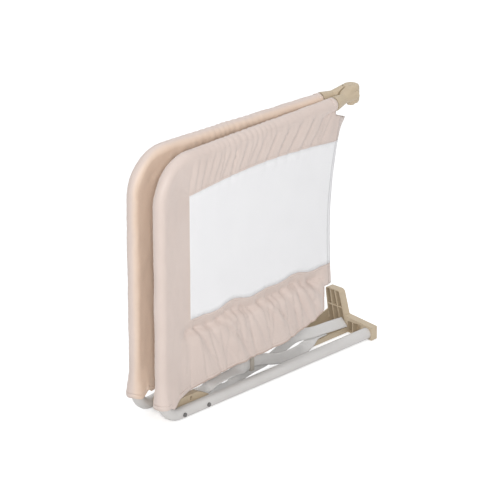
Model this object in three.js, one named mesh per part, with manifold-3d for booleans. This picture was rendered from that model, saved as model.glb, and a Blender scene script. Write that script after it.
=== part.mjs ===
// Folding bed guard rail, folded in half at its centre hinge and standing on its two legs.
// Millimetres. +X runs from the end posts to the centre fold, +Z is up, -Y is the outer face.
import * as THREE from 'three';
import Module from 'manifold-3d';
import { mergeVertices } from 'three/addons/utils/BufferGeometryUtils.js';

const wasm = await Module();
wasm.setup();

// Clearances
const FIT_GAP = 0.3;
const RUN_GAP = 0.6;
const OVERRUN = 5;

// Frame tubes
const TUBE_D = 22;
const TUBE_WALL = 1.5;
const FRAME_HEIGHT = 500;
const HALF_SPAN = 505;
const FOLD_OFFSET = 15;
const REST_FOLD_DEG = 2.13;
const TOP_BEND_R = 72;
const POST_SPLIT_Z = 110;
const TOP_BAR_END_X = 62;

// Legs that swing under the mattress
const FOOT_BEND_R = 42;
const LEG_REACH = 546;
const REAR_LEG_REST_DEG = 12.7;
const SPIGOT_UP = 70;
const SPIGOT_DOWN = 45;
const SPIGOT_BORE_D = 8;
const PLUG_DEPTH = 18;
const PLUG_FLANGE = 2.5;

// Cloth cover
const SLEEVE_D = 26;
const SLEEVE_FOOT_Z = 52;
const SLEEVE_END_X = 64;
const CLOTH = 2;
const MESH_CLOTH = 1.2;
const PANEL_TOP_GAP = 0.8;
const WINDOW_FOOT_Z = 182;
const WINDOW_ARCH = 12;
const HEM_POST_Z = 55;
const HEM_DROP_X = 16;
const HEM_NEAR_Z = 37;
const HEM_MID_Z = 52;
const HEM_LATE_Z = 62;
const HEM_FAR_Z = 92;
const HEM_MID_X = 130;
const HEM_RISE_POWER = 5;
const NOTCH_FOOT_Z = 141;
const NOTCH_TOP_DROP = 40;
const NOTCH_W = 14;
const FOLD_WAIST_X = 65;
const FOLD_TOP_X = 31;
const FOLD_FOOT_X = 61;
const FOLD_TURN_R = 12;
const FOLD_LAP = 8;
const PLEAT_DEPTH = 3;
const PLEAT_PITCH = 58;
const PLEAT_FADE = 24;
const PLEAT_SLANT_SHARE = 0.45;

// Centre hinge
const FLANGE_D = 26.4;
const FLANGE_W = 4;
const HINGE_PLUG_DEPTH = 26;
const NECK_D = 19;
const NECK_END_X = 36;
const NECK_AXIS_Y = 12;
const NECK_RISE = 1.5;
const SHELL_SINK = 1;
const KNOB_D = 31;
const KNOB_DROP = 16;
const KNOB_RISE = 19;
const KNOB_EDGE = 5;
const EDGE_SHARE = 0.3;
const SADDLE_DROP = 2;
const BAND_H = 11;
const BAND_TOP_H = 14;
const PIN_D = 5;
const PIN_COVER = 6;
const RIVET_D = 4;
const RIVET_X = 75;
const BUTTON_D = 14;
const BUTTON_RISE = 3;
const BUTTON_PROUD = 3.5;
const BUTTON_TRAVEL = 3;

// Strap bracket near each foot bend
const BRACKET_START_X = 34;
const BRACKET_END_X = 130;
const BRACKET_FOOT_Z = 3;
const BRACKET_H = 28;
const BRACKET_DEPTH = 13;
const BRACKET_CORNER = 8;
const BRACKET_HOLE_D = 7;
const BRACKET_HOLE_X = 84;
const SCREW_D = 4.4;
const SCREW_HEAD_D = 8;
const SCREW_HEAD_H = 1.8;
const SCREW_DEPTH = 8;
const SCREW_START_X = 45;
const SCREW_PITCH = 61;

// Anchor plate stored on the end of the front leg
const ANCHOR_DEPTH = 15;
const ANCHOR_SOCKET = 10;
const ANCHOR_WALL = 2.5;
const ANCHOR_BEAM_H = 25;
const ANCHOR_BEAM_RISE = 6;
const COLUMN_START_Y = 46;
const COLUMN_W = 46;
const COLUMN_H = 77;
const COLUMN_LEAN = 22;
const COLUMN_TOP_W = 35;
const COLUMN_SHELF_Z = 45;
const COLUMN_CORNER_R = 7;
const BASE_LENGTH = 110;
const BASE_H = 10;
const BASE_SLANT = 25;
const GUSSET_H = 39;
const GUSSET_TIP_H = 19;
const GUSSET_START_X = 14;
const BEAM_RIB_Y = 34;

// Webbing straps and their slider. Each route row is the share of the way along, across, up and of the lean.
const STRAP_W = 22;
const STRAP_T = 1.6;
const STRAP_LEAN_DEG = 90;
const STRAP_INSET = 4;
const STRAP_STACK = 3;
const STRAP_FOOT_Z = 1.5;
const HIGH_STRAP_LAP = 39;
const LOW_ROUTE_SHARES = [
  [0, 0, 0, 0], [0.067, 0, 0.02, 0], [0.134, -0.08, -0.02, 0.85], [0.224, -0.23, -0.2, 0.9],
  [0.314, 0.26, -0.02, 0.15], [0.385, 0.49, 0, 0], [0.489, 0.78, 0, 0], [0.602, 1.15, 0.3, 0.05],
  [0.711, 1.52, 0.62, 0.2], [0.815, 1.45, 0.42, 0.55], [0.918, 1.3, 0.35, 0.55], [1, 1.2, 0.28, 0.55],
];
const HIGH_ROUTE_SHARES = [
  [0, 0, 0.25, 0], [0.077, 0, 0.34, 0], [0.153, 0.015, 0.61, 0.85], [0.273, -0.046, 0.79, 0.9],
  [0.352, 0, 0.82, 0.3], [0.413, 0.09, 0.84, 0], [0.492, 0.14, 0.7, 0], [0.571, 0.155, 0.3, 0],
  [0.656, 0.17, 0.01, 0.05], [0.762, 0.215, 0, 0.15], [0.847, 0.48, -0.03, 0.75], [0.915, 0.85, -0.02, 1],
  [1, 1, -0.04, 1],
];
const SLIDER_W = 8;
const SLIDER_T = 2.5;
const SLIDER_PLAY = 1.4;
const SLIDER_STOP = 5;

// Facets
const TUBE_HALF_SIDES = 8;
const BEND_STEPS = 8;
const ROUND_STEPS = 20;
const CORNER_STEPS = 5;
const NEAR_COLUMNS = 4;
const FAR_COLUMNS = 28;
const NOTCH_ROWS = 1;
const TOP_ROWS = 3;
const WINDOW_ROWS = 3;
const FOOT_ROWS = 3;
const FOLD_ROWS = 12;
const TURN_STEPS = 6;
const STRAP_STEPS = 3;

// Places worked out from the sizes above
const TOP_BAR_Z = FRAME_HEIGHT - SLEEVE_D / 2;
const NOTCH_TOP_Z = FRAME_HEIGHT - NOTCH_TOP_DROP;
const FOLD_WAIST_Z = FRAME_HEIGHT / 2;
const FOLD_ANGLE = THREE.MathUtils.degToRad(REST_FOLD_DEG);
const PANEL_START = -HALF_SPAN + SLEEVE_D / 2 + FIT_GAP;
const PANEL_TOP_Z = FRAME_HEIGHT - SLEEVE_D - PANEL_TOP_GAP;
const PANEL_CORNER = TOP_BEND_R - SLEEVE_D / 2 - PANEL_TOP_GAP;
const WINDOW_START = PANEL_START + PANEL_CORNER;
const WINDOW_TOP_Z = PANEL_TOP_Z - PANEL_CORNER;
const KNOB_FOOT_Z = TOP_BAR_Z - KNOB_DROP;
const KNOB_TOP_Z = TOP_BAR_Z + KNOB_RISE;
const BUTTON_SEAT_Z = KNOB_FOOT_Z + BUTTON_RISE + BUTTON_TRAVEL + RUN_GAP;
const PIN_TOP_Z = KNOB_TOP_Z - PIN_COVER;
const ANCHOR_FACE_X = LEG_REACH - ANCHOR_SOCKET;
const ANCHOR_BACK_X = ANCHOR_FACE_X + ANCHOR_DEPTH;
const BASE_START_X = ANCHOR_BACK_X - BASE_LENGTH;
const HIGH_STRAP_START = new THREE.Vector2(
  BRACKET_END_X - BRACKET_H, TUBE_D / 2 + FIT_GAP + BRACKET_DEPTH + 2 * STRAP_T);
const HIGH_STRAP_END = new THREE.Vector2(BASE_START_X + HIGH_STRAP_LAP, COLUMN_START_Y + BASE_SLANT / 2);
const LOW_STRAP_START = new THREE.Vector2(HIGH_STRAP_START.x, HIGH_STRAP_START.y + STRAP_STACK);
const LOW_STRAP_END = new THREE.Vector2(ANCHOR_FACE_X - RUN_GAP, COLUMN_START_Y + STRAP_INSET);

// Materials
function finish(color, roughness, metalness) {
  return new THREE.MeshStandardMaterial({ color, roughness, metalness });
}

const LOOKS = {
  paint: () => finish(0xd9d6d1, 0.4, 0.2),
  plastic: () => finish(0xd3c5ab, 0.5, 0),
  cloth: () => finish(0xe3cfc4, 0.9, 0),
  netting: () => finish(0xf0f0f0, 0.9, 0),
  webbing: () => finish(0xd8d4d0, 0.85, 0),
  steel: () => finish(0x6a6a6a, 0.35, 0.9),
};

// Geometry helpers
function signedVolume(geometry) {
  const place = geometry.getAttribute('position');
  const index = geometry.getIndex();
  const a = new THREE.Vector3();
  const b = new THREE.Vector3();
  const c = new THREE.Vector3();
  let sum = 0;
  for (let i = 0; i < index.count; i += 3) {
    a.fromBufferAttribute(place, index.getX(i));
    b.fromBufferAttribute(place, index.getX(i + 1));
    c.fromBufferAttribute(place, index.getX(i + 2));
    sum += a.dot(b.cross(c));
  }
  return sum;
}

function flip(geometry) {
  const index = geometry.getIndex();
  for (let i = 0; i < index.count; i += 3) {
    const first = index.getX(i);
    index.setX(i, index.getX(i + 1));
    index.setX(i + 1, first);
  }
  return geometry;
}

// One closed skin with shared vertices and its faces pointing out.
function closed(geometry) {
  const bare = new THREE.BufferGeometry();
  bare.setAttribute('position', geometry.getAttribute('position').clone());
  if (geometry.getIndex()) bare.setIndex(geometry.getIndex().clone());
  const skin = mergeVertices(bare);
  return signedVolume(skin) < 0 ? flip(skin) : skin;
}

function toSolid(geometry) {
  const skin = closed(geometry);
  const vertProperties = new Float32Array(skin.getAttribute('position').array);
  const triVerts = new Uint32Array(skin.getIndex().array);
  return new wasm.Manifold(new wasm.Mesh({ numProp: 3, vertProperties, triVerts }));
}

function toGeometry(solid) {
  const mesh = solid.getMesh();
  const geometry = new THREE.BufferGeometry();
  geometry.setAttribute('position', new THREE.BufferAttribute(mesh.vertProperties, 3));
  geometry.setIndex(new THREE.BufferAttribute(mesh.triVerts, 1));
  return geometry;
}

function join(parts) {
  return parts.map(toSolid).reduce((whole, part) => whole.add(part));
}

function cut(body, tools) {
  return tools.map(toSolid).reduce((rest, tool) => rest.subtract(tool), body);
}

function mirrored(geometry) {
  const copy = closed(geometry);
  copy.applyMatrix4(new THREE.Matrix4().makeScale(1, -1, 1));
  return flip(copy);
}

// Prisms: an outline drawn in two axes and run along the third.
function outline(points) {
  return new THREE.Shape(points.map(([a, b]) => new THREE.Vector2(a, b)));
}

function prism(shape, from, to, basis) {
  const geometry = new THREE.ExtrudeGeometry(shape, {
    depth: to - from, bevelEnabled: false, curveSegments: ROUND_STEPS,
  });
  geometry.translate(0, 0, from);
  geometry.applyMatrix4(basis);
  return geometry;
}

const AXIS_X = new THREE.Vector3(1, 0, 0);
const AXIS_Y = new THREE.Vector3(0, 1, 0);
const AXIS_Z = new THREE.Vector3(0, 0, 1);
const ALONG_X = new THREE.Matrix4().makeBasis(AXIS_Y, AXIS_Z, AXIS_X);
const ALONG_Y = new THREE.Matrix4().makeBasis(AXIS_Z, AXIS_X, AXIS_Y);
const ALONG_Z = new THREE.Matrix4();

function prismX(yzPoints, from, to) {
  return prism(outline(yzPoints), from, to, ALONG_X);
}

// Its outline is drawn as x and z, so the pairs swap to suit the basis.
function prismY(xzPoints, from, to) {
  return prism(outline(xzPoints.map(([x, z]) => [z, x])), from, to, ALONG_Y);
}

function box(x0, x1, y0, y1, z0, z1) {
  return prismX([[y0, z0], [y1, z0], [y1, z1], [y0, z1]], x0, x1);
}

function rod(radius, from, to, basis, first, second) {
  const shape = new THREE.Shape();
  shape.absarc(first, second, radius, 0, 2 * Math.PI);
  return prism(shape, from, to, basis);
}

// A run of chosen stations, one step from each to the next.
class StationRun extends THREE.Curve {
  constructor(points, tangents) {
    super();
    this.points = points;
    this.tangents = tangents;
  }

  getPoint(t) {
    return this.points[Math.round(t * (this.points.length - 1))].clone();
  }

  getPointAt(t) {
    return this.getPoint(t);
  }

  getTangentAt(t) {
    return this.tangents[Math.round(t * (this.points.length - 1))].clone();
  }
}

// A flat run in x and z: straight, one quarter bend, straight.
function bentRun(start, corner, end, radius) {
  const toCorner = corner.clone().sub(start).normalize();
  const fromCorner = end.clone().sub(corner).normalize();
  const centre = corner.clone().addScaledVector(toCorner, -radius).addScaledVector(fromCorner, radius);
  const points = [start];
  const tangents = [toCorner];
  for (let i = 0; i <= BEND_STEPS; i += 1) {
    const angle = (Math.PI / 2) * (i / BEND_STEPS);
    const across = fromCorner.clone().multiplyScalar(-Math.cos(angle) * radius);
    const along = toCorner.clone().multiplyScalar(Math.sin(angle) * radius);
    points.push(centre.clone().add(across).add(along));
    const turn = toCorner.clone().multiplyScalar(Math.cos(angle));
    tangents.push(turn.addScaledVector(fromCorner, Math.sin(angle)));
  }
  points.push(end);
  tangents.push(fromCorner);
  return new StationRun(points, tangents);
}

function tubeAlong(run, outer, bore) {
  const ring = new THREE.Shape();
  ring.absarc(0, 0, outer / 2, 0, 2 * Math.PI);
  if (bore > 0) {
    const hole = new THREE.Path();
    hole.absarc(0, 0, bore / 2, 0, 2 * Math.PI, true);
    ring.holes.push(hole);
  }
  return new THREE.ExtrudeGeometry(ring, {
    steps: run.points.length - 1, extrudePath: run, curveSegments: TUBE_HALF_SIDES,
  });
}

// A thin closed sheet over a grid of cells. place(column, row, side) gives a point of either face.
function sheet(columns, rows, keep, place) {
  const positions = [];
  const faces = [];
  const across = columns + 1;
  const layer = across * (rows + 1);
  for (const side of [-1, 1]) {
    for (let j = 0; j <= rows; j += 1) {
      for (let i = 0; i <= columns; i += 1) positions.push(...place(i, j, side).toArray());
    }
  }
  const quad = (a, b, c, d) => faces.push(a, b, c, a, c, d);
  const kept = (i, j) => i >= 0 && j >= 0 && i < columns && j < rows && keep(i, j);
  for (let j = 0; j < rows; j += 1) {
    for (let i = 0; i < columns; i += 1) {
      if (!kept(i, j)) continue;
      const a = j * across + i;
      const corners = [a, a + 1, a + 1 + across, a + across];
      const [p, q, r, s] = corners;
      quad(p, q, r, s);
      quad(s + layer, r + layer, q + layer, p + layer);
      if (!kept(i, j - 1)) quad(q, p, p + layer, q + layer);
      if (!kept(i + 1, j)) quad(r, q, q + layer, r + layer);
      if (!kept(i, j + 1)) quad(s, r, r + layer, s + layer);
      if (!kept(i - 1, j)) quad(p, s, s + layer, p + layer);
    }
  }
  return closed(usedOnly(positions, faces));
}

// Leaves out grid points that no kept cell touches.
function usedOnly(positions, faces) {
  const seen = new Map();
  const points = [];
  const index = faces.map((old) => {
    if (!seen.has(old)) {
      seen.set(old, seen.size);
      points.push(...positions.slice(old * 3, old * 3 + 3));
    }
    return seen.get(old);
  });
  const geometry = new THREE.BufferGeometry();
  geometry.setAttribute('position', new THREE.Float32BufferAttribute(points, 3));
  geometry.setIndex(index);
  return geometry;
}

// Every half is drawn for the front, with the fold axis at x 0 and y 0 and the post at -HALF_SPAN.
function railTube() {
  const start = new THREE.Vector3(-TOP_BAR_END_X, -FOLD_OFFSET, TOP_BAR_Z);
  const corner = new THREE.Vector3(-HALF_SPAN, -FOLD_OFFSET, TOP_BAR_Z);
  const end = new THREE.Vector3(-HALF_SPAN, -FOLD_OFFSET, POST_SPLIT_Z);
  const run = bentRun(start, corner, end, TOP_BEND_R);
  const tube = toSolid(tubeAlong(run, TUBE_D, TUBE_D - 2 * TUBE_WALL));
  const hole = rod(RIVET_D / 2 + FIT_GAP, -FOLD_OFFSET - TUBE_D, -FOLD_OFFSET + TUBE_D, ALONG_Y, TOP_BAR_Z,
    -RIVET_X);
  return toGeometry(cut(tube, [hole]));
}

function sleeve() {
  const start = new THREE.Vector3(-SLEEVE_END_X, -FOLD_OFFSET, TOP_BAR_Z);
  const corner = new THREE.Vector3(-HALF_SPAN, -FOLD_OFFSET, TOP_BAR_Z);
  const end = new THREE.Vector3(-HALF_SPAN, -FOLD_OFFSET, SLEEVE_FOOT_Z);
  return closed(tubeAlong(bentRun(start, corner, end, TOP_BEND_R), SLEEVE_D, TUBE_D + 2 * FIT_GAP));
}

// Cover shape
function ease(t) {
  const s = THREE.MathUtils.clamp(t, 0, 1);
  return s * s * (3 - 2 * s);
}

// Where the cloth turns round the fold at a height.
function foldEdge(z) {
  if (z > FOLD_WAIST_Z) {
    const up = (z - FOLD_WAIST_Z) / (NOTCH_TOP_Z - FOLD_WAIST_Z);
    return -FOLD_WAIST_X + (FOLD_WAIST_X - FOLD_TOP_X) * up * up;
  }
  const down = (FOLD_WAIST_Z - z) / (FOLD_WAIST_Z - NOTCH_FOOT_Z);
  return -FOLD_WAIST_X + (FOLD_WAIST_X - FOLD_FOOT_X) * Math.min(1, down * down);
}

function panelEdge(z) {
  return foldEdge(Math.min(z, NOTCH_TOP_Z)) - FOLD_TURN_R;
}

function hemZ(x) {
  const reach = x + HALF_SPAN;
  const drop = (HEM_POST_Z - HEM_NEAR_Z) * (1 - ease((reach - SLEEVE_D / 2) / HEM_DROP_X));
  const near = HEM_NEAR_Z + drop + (HEM_MID_Z - HEM_NEAR_Z) * ease(reach / HEM_MID_X);
  const late = HALF_SPAN + panelEdge(NOTCH_FOOT_Z) - NOTCH_W;
  const far = THREE.MathUtils.clamp((reach - HEM_MID_X) / (late - HEM_MID_X), 0, 1);
  return near + (HEM_LATE_Z - HEM_MID_Z) * far + (HEM_FAR_Z - HEM_LATE_Z) * Math.pow(far, HEM_RISE_POWER);
}

function windowTopZ(x) {
  const share = (x - WINDOW_START) / (panelEdge(WINDOW_TOP_Z) - WINDOW_START);
  return WINDOW_TOP_Z + WINDOW_ARCH * Math.sin(Math.PI * THREE.MathUtils.clamp(share, 0, 1));
}

function pleatY(x, z) {
  const phase = (2 * Math.PI * (x - PLEAT_SLANT_SHARE * z)) / PLEAT_PITCH;
  const fromNear = ease((x - WINDOW_START) / PLEAT_PITCH);
  const fromFold = ease((panelEdge(z) - FOLD_LAP - x) / PLEAT_PITCH);
  const fromTop = ease((PANEL_TOP_Z - z) / PLEAT_FADE);
  const overArch = Math.min(fromTop, ease((z - windowTopZ(x)) / PLEAT_FADE));
  const band = z > WINDOW_FOOT_Z ? overArch : ease((WINDOW_FOOT_Z - z) / PLEAT_FADE);
  return PLEAT_DEPTH * Math.sin(phase) * fromNear * fromFold * band;
}

// The corner cells are drawn in so that the panel follows the bend of the rail.
function roundedCorner(x, z) {
  const a = (WINDOW_START - x) / PANEL_CORNER;
  const b = (z - WINDOW_TOP_Z) / PANEL_CORNER;
  if (a <= 0 || b <= 0) return [x, z];
  const drawnA = a * Math.sqrt(1 - (b * b) / 2);
  const drawnB = b * Math.sqrt(1 - (a * a) / 2);
  return [WINDOW_START - drawnA * PANEL_CORNER, WINDOW_TOP_Z + drawnB * PANEL_CORNER];
}

// Heights of the grid rows at a place along the panel: the notch levels are rows of their own.
function rowZ(j, x) {
  const arch = windowTopZ(x);
  const bands = [
    [PANEL_TOP_Z, NOTCH_TOP_Z, NOTCH_ROWS], [NOTCH_TOP_Z, arch, TOP_ROWS], [arch, WINDOW_FOOT_Z, WINDOW_ROWS],
    [WINDOW_FOOT_Z, NOTCH_FOOT_Z, NOTCH_ROWS], [NOTCH_FOOT_Z, hemZ(x), FOOT_ROWS],
  ];
  let row = j;
  for (const [from, to, rows] of bands) {
    if (row <= rows) return THREE.MathUtils.lerp(from, to, row / rows);
    row -= rows;
  }
  return hemZ(x);
}

function panelPoint(i, j, side, thickness) {
  const half = (side * thickness) / 2;
  if (i <= NEAR_COLUMNS) {
    const x = THREE.MathUtils.lerp(PANEL_START, WINDOW_START, i / NEAR_COLUMNS);
    const [drawnX, drawnZ] = roundedCorner(x, rowZ(j, x));
    return new THREE.Vector3(drawnX, half - FOLD_OFFSET, drawnZ);
  }
  const edge = panelEdge(rowZ(j, -FOLD_WAIST_X));
  const share = Math.min(1, (i - NEAR_COLUMNS) / FAR_COLUMNS);
  const x = i > NEAR_COLUMNS + FAR_COLUMNS ? edge : THREE.MathUtils.lerp(WINDOW_START, edge - NOTCH_W, share);
  const z = rowZ(j, x);
  return new THREE.Vector3(x, pleatY(x, z) + half - FOLD_OFFSET, z);
}

const WINDOW_ROW = NOTCH_ROWS + TOP_ROWS;
const WINDOW_ROW_END = WINDOW_ROW + WINDOW_ROWS;

function coverPanel() {
  const columns = NEAR_COLUMNS + FAR_COLUMNS + 1;
  const rows = WINDOW_ROW_END + NOTCH_ROWS + FOOT_ROWS;
  const inWindow = (i, j) => i >= NEAR_COLUMNS && j >= WINDOW_ROW && j < WINDOW_ROW_END;
  const inNotch = (i, j) => i === columns - 1 && (j < NOTCH_ROWS || j >= WINDOW_ROW_END + NOTCH_ROWS);
  const keep = (i, j) => !inWindow(i, j) && !inNotch(i, j);
  return sheet(columns, rows, keep, (i, j, side) => panelPoint(i, j, side, CLOTH));
}

function meshPanel() {
  const place = (i, j, side) => {
    const point = panelPoint(i + NEAR_COLUMNS, j + WINDOW_ROW, side, MESH_CLOTH);
    if (i === 0) point.x += FIT_GAP;
    if (j === 0) point.z -= FIT_GAP;
    if (j === WINDOW_ROWS) point.z += FIT_GAP;
    return point;
  };
  return sheet(FAR_COLUMNS + 1, WINDOW_ROWS, () => true, place);
}

// Half the space between the two turned panels at a distance from the fold axis.
function halfGap(x) {
  return FOLD_OFFSET + Math.abs(x) * Math.tan(FOLD_ANGLE);
}

// The cloth that turns round the fold, lapped inside both panels.
function foldTurn(topOf, footOf, rows, thickness) {
  const place = (i, j, side) => {
    const z = THREE.MathUtils.lerp(topOf, footOf, j / rows);
    const edge = foldEdge(z) - FOLD_TURN_R;
    const x = i === 0 || i === TURN_STEPS + 2 ? edge - FOLD_LAP : edge;
    const reach = halfGap(x) - thickness - FIT_GAP + (side * thickness) / 2;
    if (i === 0) return new THREE.Vector3(x, -reach, z);
    if (i === TURN_STEPS + 2) return new THREE.Vector3(x, reach, z);
    const angle = -Math.PI / 2 + (Math.PI * (i - 1)) / TURN_STEPS;
    return new THREE.Vector3(edge + reach * Math.cos(angle), reach * Math.sin(angle), z);
  };
  return sheet(TURN_STEPS + 2, rows, () => true, place);
}

// An outline whose corners are rounded: each corner is its two places and its radius.
function softOutline(corners) {
  const points = corners.map(([a, b]) => new THREE.Vector2(a, b));
  return corners.flatMap(([, , radius], i) => {
    const corner = points[i];
    if (radius === 0) return [corner.toArray()];
    const before = points[(i + points.length - 1) % points.length].clone().sub(corner).normalize();
    const after = points[(i + 1) % points.length].clone().sub(corner).normalize();
    const from = corner.clone().addScaledVector(before, radius);
    const to = corner.clone().addScaledVector(after, radius);
    const bend = new THREE.QuadraticBezierCurve(from, corner, to);
    return bend.getPoints(CORNER_STEPS).map((point) => point.toArray());
  });
}

// A disc on the fold axis.
function disc(from, to, radius) {
  return rod(radius, from, to, ALONG_Z, 0, 0);
}

function hullOf(parts) {
  return wasm.Manifold.hull(parts.map(toSolid));
}

// The round knob on the fold axis, with rounded edges, between two heights.
function knobBand(from, to) {
  const radius = KNOB_D / 2;
  const inset = KNOB_EDGE * EDGE_SHARE;
  const knob = hullOf([
    disc(KNOB_FOOT_Z, KNOB_FOOT_Z + FIT_GAP, radius - KNOB_EDGE),
    disc(KNOB_FOOT_Z + inset, KNOB_TOP_Z - inset, radius - inset),
    disc(KNOB_FOOT_Z + KNOB_EDGE, KNOB_TOP_Z - KNOB_EDGE, radius),
    disc(KNOB_TOP_Z - FIT_GAP, KNOB_TOP_Z, radius - KNOB_EDGE),
  ]);
  return knob.intersect(toSolid(disc(from, to, KNOB_D)));
}

// Hinge arm of the front half: a plug in the rail, a flange, a slim neck and a saddle up to the knob.
function hingeArm() {
  const face = -TOP_BAR_END_X + FIT_GAP;
  const neckRod = (from, to) => rod(NECK_D / 2, from, to, ALONG_X, -NECK_AXIS_Y, TOP_BAR_Z + NECK_RISE);
  const plug = rod(TUBE_D / 2 - TUBE_WALL - FIT_GAP, -TOP_BAR_END_X - HINGE_PLUG_DEPTH, face + FLANGE_W,
    ALONG_X, -FOLD_OFFSET, TOP_BAR_Z);
  const flange = rod(FLANGE_D / 2, face, face + FLANGE_W, ALONG_X, -FOLD_OFFSET, TOP_BAR_Z);
  const neckEnd = neckRod(-NECK_END_X, -NECK_END_X + FLANGE_W);
  const saddle = wasm.Manifold.hull([toSolid(neckEnd), knobBand(TOP_BAR_Z - SADDLE_DROP, KNOB_TOP_Z)]);
  const arm = toSolid(plug).add(hullOf([flange, neckEnd])).add(toSolid(neckRod(-NECK_END_X, 0))).add(saddle);
  const ownSide = box(-HALF_SPAN, HALF_SPAN, -HALF_SPAN, -SHELL_SINK, 0, FRAME_HEIGHT + KNOB_RISE);
  return arm.intersect(toSolid(ownSide));
}

// The front half has the low and high bands of the knob, the rear half the middle one.
function knobBands() {
  const low = KNOB_FOOT_Z + BAND_H;
  const high = KNOB_TOP_Z - BAND_TOP_H;
  return { low: [KNOB_FOOT_Z, low], middle: [low + FIT_GAP, high - FIT_GAP], high: [high, KNOB_TOP_Z] };
}

function hingeShell(bands, clearances) {
  const rooms = clearances.map(([from, to]) => disc(from, to, KNOB_D / 2 + RUN_GAP));
  const whole = bands.reduce((sum, [from, to]) => sum.add(knobBand(from, to)), cut(hingeArm(), rooms));
  const pinBore = disc(BUTTON_SEAT_Z - OVERRUN, PIN_TOP_Z + FIT_GAP, PIN_D / 2 + FIT_GAP);
  const rivetHole = rod(RIVET_D / 2 + FIT_GAP, -FOLD_OFFSET - TUBE_D, -FOLD_OFFSET + TUBE_D, ALONG_Y, TOP_BAR_Z,
    -RIVET_X);
  return cut(whole, [pinBore, rivetHole]);
}

function frontShell() {
  const { low, middle, high } = knobBands();
  const pocket = disc(KNOB_FOOT_Z - OVERRUN, BUTTON_SEAT_Z, BUTTON_D / 2 + FIT_GAP);
  const room = [middle[0] - FIT_GAP, middle[1] + FIT_GAP];
  return toGeometry(cut(hingeShell([low, high], [room]), [pocket]));
}

function rearShell() {
  const { low, middle, high } = knobBands();
  const under = [low[0] - OVERRUN, low[1] + FIT_GAP];
  const over = [high[0] - FIT_GAP, high[1] + OVERRUN];
  return mirrored(toGeometry(hingeShell([middle], [under, over])));
}

function hingePin() {
  return closed(disc(BUTTON_SEAT_Z + FIT_GAP, PIN_TOP_Z, PIN_D / 2));
}

// A plain cross rivet through the rail and the hinge plug, under the sleeve.
function hingeRivet() {
  return closed(rod(RIVET_D / 2, -FOLD_OFFSET - TUBE_D / 2 + FIT_GAP, -FOLD_OFFSET + TUBE_D / 2 - FIT_GAP,
    ALONG_Y, TOP_BAR_Z, -RIVET_X));
}

function releaseButton() {
  return closed(disc(KNOB_FOOT_Z - BUTTON_PROUD, KNOB_FOOT_Z + BUTTON_RISE, BUTTON_D / 2));
}

// Legs are drawn for the front: the post axis at x 0 and y 0, the leg along +X on the floor.
function legTube() {
  const start = new THREE.Vector3(0, 0, POST_SPLIT_Z - FIT_GAP);
  const corner = new THREE.Vector3(0, 0, TUBE_D / 2);
  const end = new THREE.Vector3(LEG_REACH, 0, TUBE_D / 2);
  const tube = toSolid(tubeAlong(bentRun(start, corner, end, FOOT_BEND_R), TUBE_D, TUBE_D - 2 * TUBE_WALL));
  const holes = screwPlaces().map((x) => (
    rod(SCREW_D / 2 + FIT_GAP, -TUBE_D, TUBE_D, ALONG_Y, TUBE_D / 2, x)));
  return toGeometry(cut(tube, holes));
}

function screwPlaces() {
  return [SCREW_START_X, SCREW_START_X + SCREW_PITCH];
}

function legSpigot() {
  const core = rod(TUBE_D / 2 - TUBE_WALL - FIT_GAP, POST_SPLIT_Z - SPIGOT_DOWN, POST_SPLIT_Z + SPIGOT_UP,
    ALONG_Z, 0, 0);
  const bore = rod(SPIGOT_BORE_D / 2, POST_SPLIT_Z - SPIGOT_DOWN - OVERRUN,
    POST_SPLIT_Z + SPIGOT_UP + OVERRUN, ALONG_Z, 0, 0);
  return toGeometry(cut(toSolid(core), [bore]));
}

function legPlug() {
  const stem = rod(TUBE_D / 2 - TUBE_WALL - FIT_GAP, LEG_REACH - PLUG_DEPTH, LEG_REACH + PLUG_FLANGE, ALONG_X,
    0, TUBE_D / 2);
  const flange = rod(TUBE_D / 2, LEG_REACH + FIT_GAP, LEG_REACH + PLUG_FLANGE, ALONG_X, 0, TUBE_D / 2);
  return toGeometry(join([stem, flange]));
}

// Strap bracket, on the inner side of the leg.
function strapBracket() {
  const top = BRACKET_FOOT_Z + BRACKET_H;
  const near = TUBE_D / 2 + FIT_GAP;
  const far = near + BRACKET_DEPTH;
  const plate = prismY([[BRACKET_START_X, BRACKET_FOOT_Z], [BRACKET_END_X, BRACKET_FOOT_Z],
    [BRACKET_END_X, BRACKET_FOOT_Z + BRACKET_H / 2], [BRACKET_END_X - BRACKET_H, top],
    [BRACKET_START_X + BRACKET_CORNER, top], [BRACKET_START_X, top - BRACKET_CORNER]], near, far);
  const hole = rod(BRACKET_HOLE_D / 2, near - OVERRUN, far + OVERRUN, ALONG_Y, top - BRACKET_HOLE_D,
    BRACKET_HOLE_X);
  const bores = screwPlaces().map((x) => (
    rod(SCREW_D / 2 + FIT_GAP, near - OVERRUN, near + SCREW_DEPTH + FIT_GAP, ALONG_Y, TUBE_D / 2, x)));
  return toGeometry(cut(toSolid(plate), [hole, ...bores]));
}

function bracketScrew(x) {
  const seat = -TUBE_D / 2 - FIT_GAP;
  const shank = rod(SCREW_D / 2, seat - SCREW_HEAD_H / 2, TUBE_D / 2 + SCREW_DEPTH, ALONG_Y, TUBE_D / 2, x);
  const head = rod(SCREW_HEAD_D / 2, seat - SCREW_HEAD_H, seat, ALONG_Y, TUBE_D / 2, x);
  return toGeometry(join([shank, head]));
}

// Anchor plate: a socket on the leg's end, a low ribbed beam, a ribbed column and a foot.
function columnEdges(z) {
  const share = z / COLUMN_H;
  const start = COLUMN_START_Y + COLUMN_LEAN * share;
  return [start, start + THREE.MathUtils.lerp(COLUMN_W, COLUMN_TOP_W, share)];
}

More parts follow.
